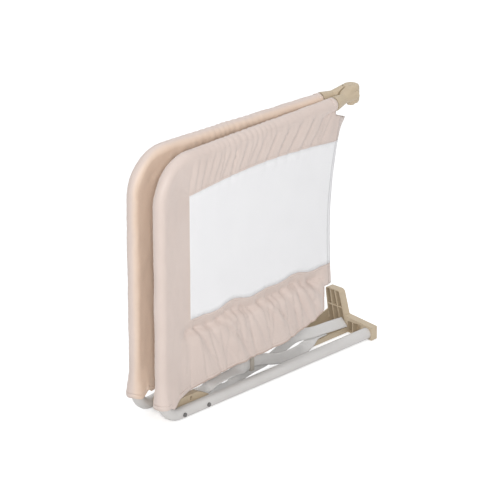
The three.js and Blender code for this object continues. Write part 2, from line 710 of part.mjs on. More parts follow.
function columnBay(from, to, fromZ, toZ) {
  const lower = columnEdges(fromZ);
  const upper = columnEdges(toZ);
  const rib = ANCHOR_WALL / 2;
  const at = (edges, share) => THREE.MathUtils.lerp(edges[0], edges[1], share);
  return prismX([[at(lower, from) + rib, fromZ + rib], [at(lower, to) - rib, fromZ + rib],
    [at(upper, to) - rib, toZ - rib], [at(upper, from) + rib, toZ - rib]],
  ANCHOR_FACE_X - OVERRUN, ANCHOR_BACK_X - ANCHOR_WALL);
}

function columnBays() {
  const bayShares = [[0.03, 0.34], [0.34, 0.67], [0.67, 0.97]];
  const floors = [[BASE_H, COLUMN_SHELF_Z], [COLUMN_SHELF_Z, COLUMN_H - ANCHOR_WALL / 2]];
  return bayShares.flatMap(([from, to]) => floors.map(([low, high]) => columnBay(from, to, low, high)));
}

function anchorBeam() {
  const start = -TUBE_D / 2 - ANCHOR_WALL;
  const end = COLUMN_START_Y + ANCHOR_WALL;
  const top = ANCHOR_BEAM_H + ANCHOR_BEAM_RISE;
  return prismX([[start, 0], [end, 0], [end + ANCHOR_BEAM_RISE, top], [start, ANCHOR_BEAM_H]],
    ANCHOR_FACE_X, ANCHOR_BACK_X);
}

function beamPockets() {
  const near = TUBE_D / 2 + ANCHOR_WALL;
  const walls = [[near, BEAM_RIB_Y - ANCHOR_WALL / 2], [BEAM_RIB_Y + ANCHOR_WALL / 2, COLUMN_START_Y]];
  return walls.map(([from, to]) => box(ANCHOR_FACE_X - OVERRUN, ANCHOR_BACK_X - ANCHOR_WALL, from, to,
    ANCHOR_WALL, ANCHOR_BEAM_H - ANCHOR_WALL));
}

function anchorPlate() {
  const [footStart, footEnd] = columnEdges(0);
  const [topStart, topEnd] = columnEdges(COLUMN_H);
  const column = prismX(softOutline([[footStart, 0, 0], [footEnd, 0, 0], [topEnd, COLUMN_H, COLUMN_CORNER_R],
    [topStart, COLUMN_H, COLUMN_CORNER_R]]), ANCHOR_FACE_X, ANCHOR_BACK_X);
  const base = prism(outline([[BASE_START_X, footStart], [ANCHOR_BACK_X, footStart], [ANCHOR_BACK_X, footEnd],
    [BASE_START_X + BASE_SLANT, footEnd]]), 0, BASE_H, ALONG_Z);
  const gusset = prismY([[BASE_START_X + GUSSET_START_X + BASE_SLANT / 2, 0], [ANCHOR_BACK_X - ANCHOR_WALL, 0],
    [ANCHOR_BACK_X - ANCHOR_WALL, GUSSET_H], [ANCHOR_FACE_X, GUSSET_H],
    [BASE_START_X + GUSSET_START_X + BASE_SLANT / 2, GUSSET_TIP_H]], footEnd - ANCHOR_WALL, footEnd);
  const socket = rod(TUBE_D / 2 + FIT_GAP, ANCHOR_FACE_X - OVERRUN, LEG_REACH + PLUG_FLANGE + FIT_GAP,
    ALONG_X, 0, TUBE_D / 2);
  const body = join([anchorBeam(), column, base, gusset]);
  return toGeometry(cut(body, [socket, ...beamPockets(), ...columnBays()]));
}

// A stop of a strap's route, given the shares of the way along, across and up.
function strapStop(start, end, [along, across, up]) {
  return new THREE.Vector3(
    THREE.MathUtils.lerp(start.x, end.x, along),
    THREE.MathUtils.lerp(start.y, end.y, across),
    STRAP_FOOT_Z + STRAP_W / 2 + up * STRAP_W,
  );
}

// A strap is a flat ribbon that runs from the bracket to the anchor plate along a route of shares.
function strapAlong(routeShares, start, end) {
  const stops = routeShares.map((row) => strapStop(start, end, row));
  const places = new THREE.CatmullRomCurve3(stops);
  const leans = new THREE.CatmullRomCurve3(routeShares.map(([, , , lean]) => new THREE.Vector3(lean, 0, 0)));
  const steps = (stops.length - 1) * STRAP_STEPS;
  const place = (i, j, side) => {
    const t = i / steps;
    const along = places.getTangent(t);
    const flat = new THREE.Vector3(-along.y, along.x, 0).normalize();
    const rise = new THREE.Vector3().crossVectors(along, flat);
    const angle = THREE.MathUtils.degToRad(STRAP_LEAN_DEG) * leans.getPoint(t).x;
    const wide = rise.clone().multiplyScalar(Math.cos(angle)).addScaledVector(flat, Math.sin(angle));
    const thick = flat.clone().multiplyScalar(Math.cos(angle)).addScaledVector(rise, -Math.sin(angle));
    const point = places.getPoint(t).addScaledVector(wide, ((j * 2 - 1) * STRAP_W) / 2);
    return point.addScaledVector(thick, (side * STRAP_T) / 2);
  };
  return sheet(steps, 1, () => true, place);
}

// A flat loop that the high strap runs through, at one of the strap's own stops.
function strapSlider() {
  const stop = strapStop(HIGH_STRAP_START, HIGH_STRAP_END, HIGH_ROUTE_SHARES[SLIDER_STOP]);
  const eyeH = STRAP_W / 2 + RUN_GAP;
  const eyeT = STRAP_T / 2 + SLIDER_PLAY;
  const from = stop.x - SLIDER_W / 2;
  const to = stop.x + SLIDER_W / 2;
  const frame = box(from, to, stop.y - eyeT - SLIDER_T, stop.y + eyeT + SLIDER_T,
    stop.z - eyeH - SLIDER_T, stop.z + eyeH + SLIDER_T);
  const eye = box(from - OVERRUN, to + OVERRUN, stop.y - eyeT, stop.y + eyeT, stop.z - eyeH, stop.z + eyeH);
  return toGeometry(cut(toSolid(frame), [eye]));
}

// Assembly
function node(name, geometry, look) {
  const mesh = new THREE.Mesh(geometry, LOOKS[look]());
  mesh.name = name;
  return mesh;
}

function halfFrame(side, asMade) {
  const half = new THREE.Group();
  half.add(
    node(`${side}_rail_tube`, asMade(railTube()), 'paint'),
    node(`${side}_sleeve`, asMade(sleeve()), 'cloth'),
    node(`${side}_cover_panel`, asMade(coverPanel()), 'cloth'),
    node(`${side}_mesh_window`, asMade(meshPanel()), 'netting'),
    node(`${side}_hinge_rivet`, asMade(hingeRivet()), 'steel'),
  );
  return half;
}

function foldNodes() {
  const split = [NOTCH_TOP_Z, WINDOW_TOP_Z, WINDOW_FOOT_Z, NOTCH_FOOT_Z];
  const names = ['fold_top_cloth', 'fold_mesh', 'fold_foot_cloth'];
  return names.map((name, i) => {
    const share = (split[i] - split[i + 1]) / (NOTCH_TOP_Z - NOTCH_FOOT_Z);
    const rows = Math.max(2, Math.round(FOLD_ROWS * share));
    const netting = name === 'fold_mesh';
    const turn = foldTurn(split[i] - FIT_GAP, split[i + 1] + FIT_GAP, rows, netting ? MESH_CLOTH : CLOTH);
    return node(name, turn, netting ? 'netting' : 'cloth');
  });
}

function legNodes(side, asMade) {
  const leg = new THREE.Group();
  leg.add(
    node(`${side}_leg_tube`, asMade(legTube()), 'paint'),
    node(`${side}_leg_spigot`, asMade(legSpigot()), 'steel'),
    node(`${side}_leg_plug`, asMade(legPlug()), 'plastic'),
    node(`${side}_strap_bracket`, asMade(strapBracket()), 'plastic'),
  );
  screwPlaces().forEach((x, i) => {
    leg.add(node(`${side}_bracket_screw_${i + 1}`, asMade(bracketScrew(x)), 'steel'));
  });
  return leg;
}

function frontHalf() {
  const half = halfFrame('front', (geometry) => geometry);
  half.add(node('front_hinge_shell', frontShell(), 'plastic'));
  half.add(node('hinge_pin', hingePin(), 'steel'));
  half.add(node('release_button', releaseButton(), 'plastic'));
  const leg = legNodes('front', (geometry) => geometry);
  leg.add(node('anchor_plate', anchorPlate(), 'plastic'));
  leg.add(node('low_strap', strapAlong(LOW_ROUTE_SHARES, LOW_STRAP_START, LOW_STRAP_END), 'webbing'));
  leg.add(node('high_strap', strapAlong(HIGH_ROUTE_SHARES, HIGH_STRAP_START, HIGH_STRAP_END), 'webbing'));
  leg.add(node('strap_slider', strapSlider(), 'plastic'));
  leg.position.set(-HALF_SPAN, -FOLD_OFFSET, 0);
  half.add(leg);
  half.rotation.z = FOLD_ANGLE;
  return half;
}

function rearHalf() {
  const half = halfFrame('rear', mirrored);
  half.add(node('rear_hinge_shell', rearShell(), 'plastic'));
  const leg = legNodes('rear', mirrored);
  leg.position.set(-HALF_SPAN, FOLD_OFFSET, 0);
  leg.rotation.z = THREE.MathUtils.degToRad(REAR_LEG_REST_DEG);
  half.add(leg);
  half.rotation.z = -FOLD_ANGLE;
  return half;
}

// The finished part stands with the middle of its outline over the origin.
function guardRail() {
  const rail = new THREE.Group();
  rail.add(frontHalf(), rearHalf(), ...foldNodes());
  rail.updateMatrixWorld(true);
  const middle = new THREE.Box3().setFromObject(rail, true).getCenter(new THREE.Vector3());
  rail.position.set(-middle.x, -middle.y, 0);
  return rail;
}

export default guardRail();
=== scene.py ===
"""Folding bed guard rail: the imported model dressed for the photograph's view."""

import math
import random
from collections import namedtuple

import bmesh
import bpy
from mathutils import Matrix, Vector, noise

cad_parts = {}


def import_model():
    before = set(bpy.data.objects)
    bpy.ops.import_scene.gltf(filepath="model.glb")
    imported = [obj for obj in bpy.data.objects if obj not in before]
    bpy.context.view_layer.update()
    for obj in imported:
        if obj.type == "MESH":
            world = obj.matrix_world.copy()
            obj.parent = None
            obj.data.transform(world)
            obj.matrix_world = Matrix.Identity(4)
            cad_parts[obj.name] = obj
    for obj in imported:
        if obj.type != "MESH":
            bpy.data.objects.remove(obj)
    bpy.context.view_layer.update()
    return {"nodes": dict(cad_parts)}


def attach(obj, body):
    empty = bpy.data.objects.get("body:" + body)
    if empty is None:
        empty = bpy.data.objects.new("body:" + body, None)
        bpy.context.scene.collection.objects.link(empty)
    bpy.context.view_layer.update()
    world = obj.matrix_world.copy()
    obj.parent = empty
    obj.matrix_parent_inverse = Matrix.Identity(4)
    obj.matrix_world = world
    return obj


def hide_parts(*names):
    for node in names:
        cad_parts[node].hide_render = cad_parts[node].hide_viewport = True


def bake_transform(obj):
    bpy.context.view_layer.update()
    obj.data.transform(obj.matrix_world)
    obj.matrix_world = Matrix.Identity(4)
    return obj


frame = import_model()
NODES = frame["nodes"]

# Sizes taken from the CAD model, in millimetres and radians
MM = 0.001
HALF_SPAN = 505.0
OFFSET = 15.0
FOLD_ANGLE = math.radians(2.13)
REAR_LEG_ANGLE = math.radians(12.7)
SHIFT = (235.029, -49.219)
TOP_BAR_Z = 487.0
TOP_BEND_R = 72.0
TUBE_R = 11.0
TUBE_WALL = 1.5
FOOT_BEND_R = 42.0
LEG_REACH = 546.0
POST_SPLIT_Z = 109.7
SLEEVE_END_X = 64.0
PANEL_START = -491.7
PANEL_TOP_Z = 473.2
PANEL_CORNER = 58.2
WINDOW_START = PANEL_START + PANEL_CORNER
WINDOW_TOP_Z = PANEL_TOP_Z - PANEL_CORNER
WINDOW_FOOT_Z = 182.0
NOTCH_TOP_Z = 460.0
NOTCH_FOOT_Z = 141.0
NOTCH_W = 14.0
FOLD_WAIST_Z = 250.0
FOLD_TURN_R = 12.0
FOLD_LAP = 8.0

# The visual model's own cloth sizes, in millimetres
SLEEVE_R = 12.6
SLEEVE_FOOT_Z = 36.0
CLOTH = 1.8
SLEEVE_CLOTH = 0.8
NETTING = 1.1


def world(side, x, y, z):
    """A point of a half's own frame, fold axis at x 0 and y 0, in the row frame."""
    c, s = math.cos(FOLD_ANGLE), math.sin(FOLD_ANGLE)
    u, v = c * x - s * y, s * x + c * y
    if side == "rear":
        v = -v
    return Vector((u + SHIFT[0], v + SHIFT[1], z)) * MM


def leg_world(side, x, y, z):
    """A point of a leg's own frame, post axis at x 0 and y 0, in the row frame."""
    if side == "rear":
        c, s = math.cos(REAR_LEG_ANGLE), math.sin(REAR_LEG_ANGLE)
        x, y = c * x + s * y, c * y - s * x
    return world(side, x - HALF_SPAN, y - OFFSET, z)


def clamp(t):
    return min(1.0, max(0.0, t))


def ease(t):
    t = clamp(t)
    return t * t * (3 - 2 * t)


def ramp(value, start, end):
    """A smooth rise from 0 at start to 1 at end."""
    return ease((value - start) / (end - start))


def mix(a, b, t):
    return a + (b - a) * t


# The camera, solved from points measured in the photograph
CAMERA_PLACE = (-4620.53, -4771.85, 2927.52)
CAMERA_WAY = (0.646693, 0.663830, -0.375657)
CAMERA_ROLL = math.radians(-0.12)
FOCAL_PIXELS = 3983.52
PHOTO_PIXELS = 500.0
SENSOR_W = 36.0


def make_camera():
    data = bpy.data.cameras.new("camera")
    data.sensor_width = SENSOR_W
    data.lens = FOCAL_PIXELS * SENSOR_W / PHOTO_PIXELS
    data.clip_start, data.clip_end = 0.1, 60.0
    cam = bpy.data.objects.new("camera", data)
    bpy.context.scene.collection.objects.link(cam)
    cam.rotation_mode = "QUATERNION"
    aim = Vector(CAMERA_WAY).normalized().to_track_quat("-Z", "Y").to_matrix()
    cam.rotation_quaternion = (aim @ Matrix.Rotation(CAMERA_ROLL, 3, "Z")).to_quaternion()
    cam.location = Vector(CAMERA_PLACE) * MM
    bpy.context.scene.camera = cam


make_camera()


# Node helpers
def new_material(name):
    mat = bpy.data.materials.new(name)
    mat.use_nodes = True
    tree = mat.node_tree
    return mat, tree, tree.nodes["Principled BSDF"]


def link(tree, a, b):
    tree.links.new(a, b)


def add(tree, kind, **settings):
    node = tree.nodes.new(kind)
    for key, value in settings.items():
        setattr(node, key, value)
    return node


def object_coords(tree):
    return add(tree, "ShaderNodeTexCoord").outputs["Object"]


def maths(tree, operation, a, b):
    node = add(tree, "ShaderNodeMath", operation=operation)
    for socket, value in zip(node.inputs, (a, b)):
        if isinstance(value, (int, float)):
            socket.default_value = value
        else:
            link(tree, value, socket)
    return node.outputs[0]


def weighted(tree, a, a_weight, b, b_weight):
    a_part = maths(tree, "MULTIPLY", a, a_weight)
    return maths(tree, "ADD", a_part, maths(tree, "MULTIPLY", b, b_weight))


def span(tree, value, low, high):
    node = add(tree, "ShaderNodeMapRange")
    link(tree, value, node.inputs["Value"])
    node.inputs["To Min"].default_value = low
    node.inputs["To Max"].default_value = high
    return node.outputs[0]


def colour_mix(tree, fac):
    """A colour mix driven by fac: its two colour inputs and its result."""
    node = add(tree, "ShaderNodeMix", data_type="RGBA")
    link(tree, fac, node.inputs[0])
    return node.inputs[6], node.inputs[7], node.outputs[2]


def tinted(tree, fac, dark, light):
    first, second, colour = colour_mix(tree, fac)
    first.default_value = (*dark, 1)
    second.default_value = (*light, 1)
    return colour


def speckle(tree, coords, scale, detail=3.0):
    node = add(tree, "ShaderNodeTexNoise")
    node.inputs["Scale"].default_value = scale
    node.inputs["Detail"].default_value = detail
    link(tree, coords, node.inputs["Vector"])
    return node.outputs["Fac"]


def wave(tree, coords, scale, direction, distortion=0.0):
    node = add(tree, "ShaderNodeTexWave", bands_direction=direction)
    node.inputs["Scale"].default_value = scale
    node.inputs["Distortion"].default_value = distortion
    link(tree, coords, node.inputs["Vector"])
    return node.outputs["Fac"]


def bump(tree, shader, height, strength, distance):
    node = add(tree, "ShaderNodeBump")
    node.inputs["Strength"].default_value = strength
    node.inputs["Distance"].default_value = distance
    link(tree, height, node.inputs["Height"])
    link(tree, node.outputs["Normal"], shader.inputs["Normal"])


def weave_height(tree, coords, pitch):
    """Threads over and under along X and Z; one wave is 0.63 of the pitch, which is in metres."""
    scale = 0.5 / pitch
    return maths(tree, "MULTIPLY", wave(tree, coords, scale, "X"), wave(tree, coords, scale, "Z"))


# Materials
COVER_DARK, COVER_LIGHT = (0.64, 0.53, 0.475), (0.74, 0.63, 0.575)
# Painted light: a warm glow of light shining through the cloth and bouncing between the halves, painted on
# faces turned to the other half
PAINTED_GLOW_DARK, PAINTED_GLOW_LIGHT = (0.76, 0.60, 0.48), (0.85, 0.69, 0.57)


def with_painted_glow(tree, place, outer, shade, inner_way):
    """The outer colour, turned to a warmer painted glow where the cloth faces the other half: light shining
    through the thin cloth and bouncing between the halves, painted in.
    """
    parts = add(tree, "ShaderNodeSeparateXYZ")
    link(tree, place.outputs["Normal"], parts.inputs[0])
    inner = add(tree, "ShaderNodeMapRange", interpolation_type="SMOOTHSTEP")
    link(tree, maths(tree, "MULTIPLY", parts.outputs["Y"], inner_way), inner.inputs["Value"])
    inner.inputs["From Min"].default_value = 0.3
    inner.inputs["From Max"].default_value = 1.0
    first, second, colour = colour_mix(tree, inner.outputs[0])
    link(tree, outer, first)
    link(tree, tinted(tree, shade, PAINTED_GLOW_DARK, PAINTED_GLOW_LIGHT), second)
    return colour


def cloth_material(name, dark, light, sheen=0.25, inner_way=0):
    """Plain woven cloth; inner_way is the sign of Y on the side that gets the painted warm glow of light
    through the cloth.
    """
    mat, tree, shader = new_material(name)
    place = add(tree, "ShaderNodeTexCoord")
    coords = place.outputs["Object"]
    fine = speckle(tree, coords, 900.0, 2.0)
    shade = weighted(tree, speckle(tree, coords, 14.0), 0.75, fine, 0.25)
    colour = tinted(tree, shade, dark, light)
    # Faces turned to the other half get a painted warm glow of light through the cloth
    if inner_way:
        colour = with_painted_glow(tree, place, colour, shade, inner_way)
    link(tree, colour, shader.inputs["Base Color"])
    link(tree, span(tree, fine, 0.36, 0.56), shader.inputs["Roughness"])
    creases = speckle(tree, coords, 55.0, 4.0)
    height = weighted(tree, weave_height(tree, coords, 0.0007), 0.25, creases, 1.6)
    bump(tree, shader, height, 0.35, 0.0006)
    shader.inputs["Sheen Weight"].default_value = sheen
    shader.inputs["Sheen Roughness"].default_value = 0.4
    shader.inputs["Specular IOR Level"].default_value = 0.55
    return mat


def netting_material():
    """Fine white knit, slightly see-through between its threads."""
    mat, tree, shader = new_material("netting_knit")
    coords = object_coords(tree)
    knit = weave_height(tree, coords, 0.0011)
    patch = speckle(tree, coords, 20.0)
    link(tree, tinted(tree, patch, (0.91, 0.91, 0.92), (0.96, 0.96, 0.97)), shader.inputs["Base Color"])
    link(tree, span(tree, knit, 1.0, 0.80), shader.inputs["Alpha"])
    link(tree, span(tree, patch, 0.7, 0.85), shader.inputs["Roughness"])
    bump(tree, shader, knit, 0.3, 0.0003)
    shader.inputs["Specular IOR Level"].default_value = 0.2
    return mat


def webbing_material():
    """Grey webbing with ribs, laid out by the strap's own coordinates in millimetres."""
    mat, tree, shader = new_material("webbing_weave")
    coords = add(tree, "ShaderNodeTexCoord").outputs["UV"]
    patch = speckle(tree, coords, 0.04)
    ribs = wave(tree, coords, 0.12, "X", 0.6)
    weave = weighted(tree, ribs, 0.7, wave(tree, coords, 0.3, "Y"), 0.3)
    shade = weighted(tree, weave, 0.5, patch, 0.5)
    link(tree, tinted(tree, shade, (0.62, 0.605, 0.59), (0.82, 0.81, 0.795)), shader.inputs["Base Color"])
    link(tree, span(tree, patch, 0.6, 0.8), shader.inputs["Roughness"])
    bump(tree, shader, weave, 0.6, 0.0005)
    shader.inputs["Sheen Weight"].default_value = 0.2
    shader.inputs["Specular IOR Level"].default_value = 0.3
    return mat


def plastic_material(name, dark, light):
    """Moulded plastic with a fine grain, lighter on its sharp edges and darker in its hollows: painted
    highlight and painted shade.
    """
    mat, tree, shader = new_material(name)
    coords = object_coords(tree)
    grain = speckle(tree, coords, 1600.0, 2.0)
    # Painted light: sharp edges lighter as a painted highlight, hollows darker as painted shade
    edge_highlight_and_hollow_shade = span(tree, add(tree, "ShaderNodeNewGeometry").outputs["Pointiness"], -0.6, 1.6)
    shade = weighted(tree, speckle(tree, coords, 30.0), 0.7, edge_highlight_and_hollow_shade, 0.4)
    link(tree, tinted(tree, shade, dark, light), shader.inputs["Base Color"])
    link(tree, span(tree, grain, 0.36, 0.54), shader.inputs["Roughness"])
    bump(tree, shader, grain, 0.12, 0.0003)
    shader.inputs["Specular IOR Level"].default_value = 0.4
    return mat


def paint_material():
    """Pale powder coat with a slight orange peel and a few darker scuffs."""
    mat, tree, shader = new_material("powder_coat")
    coords = object_coords(tree)
    peel = speckle(tree, coords, 420.0, 2.0)
    scuffs = maths(tree, "GREATER_THAN", speckle(tree, coords, 160.0, 6.0), 0.72)
    shade = maths(tree, "SUBTRACT", speckle(tree, coords, 12.0), maths(tree, "MULTIPLY", scuffs, 0.5))
    link(tree, tinted(tree, shade, (0.60, 0.58, 0.56), (0.72, 0.705, 0.69)), shader.inputs["Base Color"])
    link(tree, span(tree, peel, 0.28, 0.42), shader.inputs["Roughness"])
    bump(tree, shader, peel, 0.08, 0.0005)
    shader.inputs["Specular IOR Level"].default_value = 0.5
    return mat


def steel_material():
    """Dull steel with fine scratches, for screws, rivets, the hinge pin and the spigots."""
    mat, tree, shader = new_material("dull_steel")
    coords = object_coords(tree)
    patch = speckle(tree, coords, 260.0)
    scratches = speckle(tree, coords, 2200.0, 1.0)
    link(tree, tinted(tree, patch, (0.10, 0.10, 0.10), (0.24, 0.235, 0.23)), shader.inputs["Base Color"])
    link(tree, span(tree, scratches, 0.3, 0.55), shader.inputs["Roughness"])
    bump(tree, shader, scratches, 0.15, 0.0002)
    shader.inputs["Metallic"].default_value = 0.85
    return mat


COVER_MATS = {side: cloth_material(f"{side}_cover_cloth", COVER_DARK, COVER_LIGHT, inner_way=way)
              for side, way in (("front", 1), ("rear", -1))}
EDGE_MAT = cloth_material("cover_binding", (0.50, 0.39, 0.33), (0.58, 0.46, 0.40), 0.1)
THREAD_MAT = cloth_material("cover_thread", (0.58, 0.47, 0.41), (0.68, 0.56, 0.50), 0.1)
NETTING_MAT = netting_material()
WEBBING_MAT = webbing_material()
PLASTIC_MAT = plastic_material("beige_plastic", (0.49, 0.39, 0.27), (0.62, 0.52, 0.38))
SLIDER_MAT = plastic_material("grey_plastic", (0.40, 0.36, 0.31), (0.52, 0.48, 0.42))
PAINT_MAT = paint_material()
STEEL_MAT = steel_material()


# Mesh helpers
def make_object(name, verts, faces, mat, body=None):
    mesh = bpy.data.meshes.new(name)
    mesh.from_pydata([tuple(v) for v in verts], [], faces)
    mesh.update()
    obj = bpy.data.objects.new(name, mesh)
    bpy.context.scene.collection.objects.link(obj)
    mesh.materials.append(mat)
    for poly in mesh.polygons:
        poly.use_smooth = True
    if body:
        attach(obj, body)
    return obj


def thicken(obj, thickness, offset=0):
    solid = obj.modifiers.new("thickness", "SOLIDIFY")
    solid.thickness = thickness * MM
    solid.offset = offset
    return solid


def grid_faces(columns, rows, keep=lambda i, j: True):
    across = columns + 1
    return [(j * across + i, j * across + i + 1, (j + 1) * across + i + 1, (j + 1) * across + i)
            for j in range(rows) for i in range(columns) if keep(i, j)]


def clean(verts, faces):
    """Drops the points that no face uses."""
    used = sorted({i for face in faces for i in face})
    place = {old: new for new, old in enumerate(used)}
    return [verts[i] for i in used], [tuple(place[i] for i in face) for face in faces]


def ring_tube(rings, closed_ends=False):
    """Points and faces of a tube through rings that have as many points each."""
    count = len(rings[0])
    verts = [p for ring in rings for p in ring]
    faces = []
    for i in range(len(rings) - 1):
        for j in range(count):
            k = (j + 1) % count
            faces.append((i * count + j, i * count + k, (i + 1) * count + k, (i + 1) * count + j))
    if closed_ends:
        faces.append(tuple(range(count - 1, -1, -1)))
        faces.append(tuple((len(rings) - 1) * count + j for j in range(count)))
    return verts, faces


def face_out(obj, merge=False):
    """Turns all faces outwards; with merge, points on the same place become one first."""
    mesh = bmesh.new()
    mesh.from_mesh(obj.data)
    if merge:
        bmesh.ops.remove_doubles(mesh, verts=mesh.verts, dist=1e-6)
    bmesh.ops.recalc_face_normals(mesh, faces=mesh.faces)
    mesh.to_mesh(obj.data)
    mesh.free()


# The cover's outline: fold and window top as in the CAD model, the hem and waves its own
FOLD_WAIST_X = -65.0
FOLD_TOP_OUT, FOLD_FOOT_OUT = 34.0, 4.0
HEM_Z = 41.5
HEM_TUCK, HEM_TUCK_W = 14.0, 14.0
HEM_CLIMB, HEM_CLIMB_W = 10.5, 130.0
HEM_FAR_CLIMB, HEM_END_CLIMB = 10.0, 34.0
HEM_SWELL, HEM_SWELL_PLACE, HEM_SWELL_W = 5.0, 200.0, 70.0
WINDOW_BOW = 12.0
NET_FOOT_RISE, NET_FOOT_W = 4.0, 360.0
NET_FOOT_WAVES = ((2.6, 13.0, 1.0), (3.0, 24.0, 2.1))
NET_FOOT_NEAR, NET_FOOT_FAR = 12, 5


def fold_edge(z):
    """How far the cloth reaches towards the fold axis; least at the waist."""
    if z > FOLD_WAIST_Z:
        up = (z - FOLD_WAIST_Z) / (NOTCH_TOP_Z - FOLD_WAIST_Z)
        return FOLD_WAIST_X + FOLD_TOP_OUT * up * up
    down = (FOLD_WAIST_Z - z) / (FOLD_WAIST_Z - NOTCH_FOOT_Z)
    return FOLD_WAIST_X + FOLD_FOOT_OUT * min(1.0, down * down)


def panel_edge(z):
    return fold_edge(min(z, NOTCH_TOP_Z)) - FOLD_TURN_R


def hem_z(x):
    """The cover's lower edge: high beside the sleeve, then climbing towards the fold."""
    reach = x + HALF_SPAN
    tuck = HEM_TUCK * (1 - ease((reach - SLEEVE_R) / HEM_TUCK_W))
    near = HEM_Z + tuck + HEM_CLIMB * ease(reach / HEM_CLIMB_W)
    end = HALF_SPAN + panel_edge(NOTCH_FOOT_Z) - NOTCH_W
    far = clamp((reach - HEM_CLIMB_W) / (end - HEM_CLIMB_W))
    swell = HEM_SWELL * math.exp(-(((reach - HEM_SWELL_PLACE) / HEM_SWELL_W) ** 2))
    return near + swell + HEM_FAR_CLIMB * far + HEM_END_CLIMB * far**4


def window_top(x):
    share = clamp((x - WINDOW_START) / (panel_edge(WINDOW_TOP_Z) - WINDOW_START))
    return WINDOW_TOP_Z + WINDOW_BOW * math.sin(math.pi * share)


def window_foot(x, seed):
    """The netting's lower edge, pulled into shallow waves by the gathers."""
    share = clamp((x - WINDOW_START) / NET_FOOT_W)
    waves = sum(height * math.sin(x / length + turn * seed) for height, length, turn in NET_FOOT_WAVES)
    ends = ease(share * NET_FOOT_NEAR) * ease((1 - share) * NET_FOOT_FAR)
    return WINDOW_FOOT_Z + (waves + NET_FOOT_RISE * share) * ends


# Gathers in millimetres; slants are x over z, heights and steps are shares of a fold's width
Fold = namedtuple("Fold", "x slant width height")
Cover = namedtuple("Cover", "side seed top_folds foot_folds")
TOP_FIRST, TOP_END_X, TOP_SPREAD = 8.0, -84.0, 340.0
TOP_WIDTHS, TOP_WIDENING, TOP_WIDTH_PLAY = (6.0, 10.0), 1.6, (0.8, 1.25)
TOP_SLANTS, TOP_SLANT_PLAY = (0.08, 0.62), (-0.1, 0.1)
TOP_HEIGHTS, TOP_STEPS = (0.36, 0.56), (2.3, 3.2)
FOOT_FIRST, FOOT_END_X = 4.0, -96.0
FOOT_WIDTHS, FOOT_SLANTS = (6.0, 13.0), (0.12, 0.62)
FOOT_HEIGHTS, FOOT_STEPS = (0.5, 0.74), (2.0, 3.0)


def make_top_folds(rng):
    """Gathers above the window, wider and more slanted towards the fold."""
    folds = []
    x = WINDOW_START + TOP_FIRST
    while x < TOP_END_X:
        share = (x - WINDOW_START) / TOP_SPREAD
        width = mix(*TOP_WIDTHS, min(1.0, share * TOP_WIDENING)) * rng.uniform(*TOP_WIDTH_PLAY)
        slant = mix(*TOP_SLANTS, share) + rng.uniform(*TOP_SLANT_PLAY)
        folds.append(Fold(x, slant, width, width * rng.uniform(*TOP_HEIGHTS)))
        x += width * rng.uniform(*TOP_STEPS)
    return folds


def make_foot_folds(rng):
    """Gathers below the window's seam."""
    folds = []
    x = WINDOW_START + FOOT_FIRST
    while x < FOOT_END_X:
        width = rng.uniform(*FOOT_WIDTHS)
        slant = rng.uniform(*FOOT_SLANTS)
        folds.append(Fold(x, slant, width, width * rng.uniform(*FOOT_HEIGHTS)))
        x += width * rng.uniform(*FOOT_STEPS)
    return folds


# A fold's section: half width, rise and fall in its widths, and its sinking in its heights
FOLD_HALF, FOLD_RISE, FOLD_FALL, FOLD_SINK = 1.8, 2.5, 1.1, 0.4
# How the gathers' depth comes and goes: heights, places and lengths in millimetres, and shares
NETTING_FADE_H = 10.0
TOP_SEAM_SHARE, TOP_FULL_H = 0.4, 20.0
TOP_FADE_Z, TOP_FADE_H = TOP_BAR_Z + 3.0, 24.0
FOOT_SEAM_SHARE, FOOT_DEEPENS = 0.15, (6.0, 34.0)
FOOT_LOSS, FOOT_FLATTENS = 0.5, (64.0, 124.0)
SEAM_DROP, FOOT_SPREAD = 24.0, 75.0
BAND_DEPTH, BAND_IN, BAND_OUT = 11.0, (0.0, 27.0), (23.0, 37.0)
PUFF, PUFF_STARTS, PUFF_ENDS = 2.5, (24.0, 44.0), (70.0, 130.0)
GATHERS_START, GATHERS_END_W = (WINDOW_START - 34.0, WINDOW_START + 6.0), 26.0
RIPPLE, RIPPLE_W, RIPPLE_H, RIPPLE_SEED = 1.1, 34.0, 60.0, 3.7
RIPPLE_ON_NETTING, RIPPLE_STARTS = 0.5, (-8.0, 12.0)


def fold_shape(t):
    """A fold across its width: a slow rise, a flat top and a steep fall, sunk a little."""
    if not -FOLD_HALF < t < FOLD_HALF:
        return 0.0
    return min((t + FOLD_HALF) / FOLD_RISE, (FOLD_HALF - t) / FOLD_FALL, 1.0) - FOLD_SINK


def folds_at(folds, x, level, spread=1.0):
    """All folds' heights at a place, level being the distance from where they start."""
    return sum(f.height * fold_shape((x - f.x - f.slant * level) / (f.width * spread)) for f in folds)


def top_share(above, z):
    """How much of the upper gathers shows at a distance above the netting."""
    if above < 0:
        return TOP_SEAM_SHARE * math.exp(above / NETTING_FADE_H)
    return mix(TOP_SEAM_SHARE, 1.0, ease(above / TOP_FULL_H)) * ease((TOP_FADE_Z - z) / TOP_FADE_H)


def foot_share(below):
    """How much of the lower gathers shows at a distance below the netting."""
    if below < 0:
        return FOOT_SEAM_SHARE * math.exp(below / NETTING_FADE_H)
    full = mix(FOOT_SEAM_SHARE, 1.0, ramp(below, *FOOT_DEEPENS))
    return full * (1 - FOOT_LOSS * ramp(below, *FOOT_FLATTENS))


def seam_band(below):
    """The band drawn in below the netting, and the cloth that puffs out under its seam."""
    drawn = BAND_DEPTH * ramp(below, *BAND_IN) * (1 - ramp(below, *BAND_OUT))
    return (PUFF * ramp(below, *PUFF_STARTS) - drawn) * (1 - ramp(below, *PUFF_ENDS))


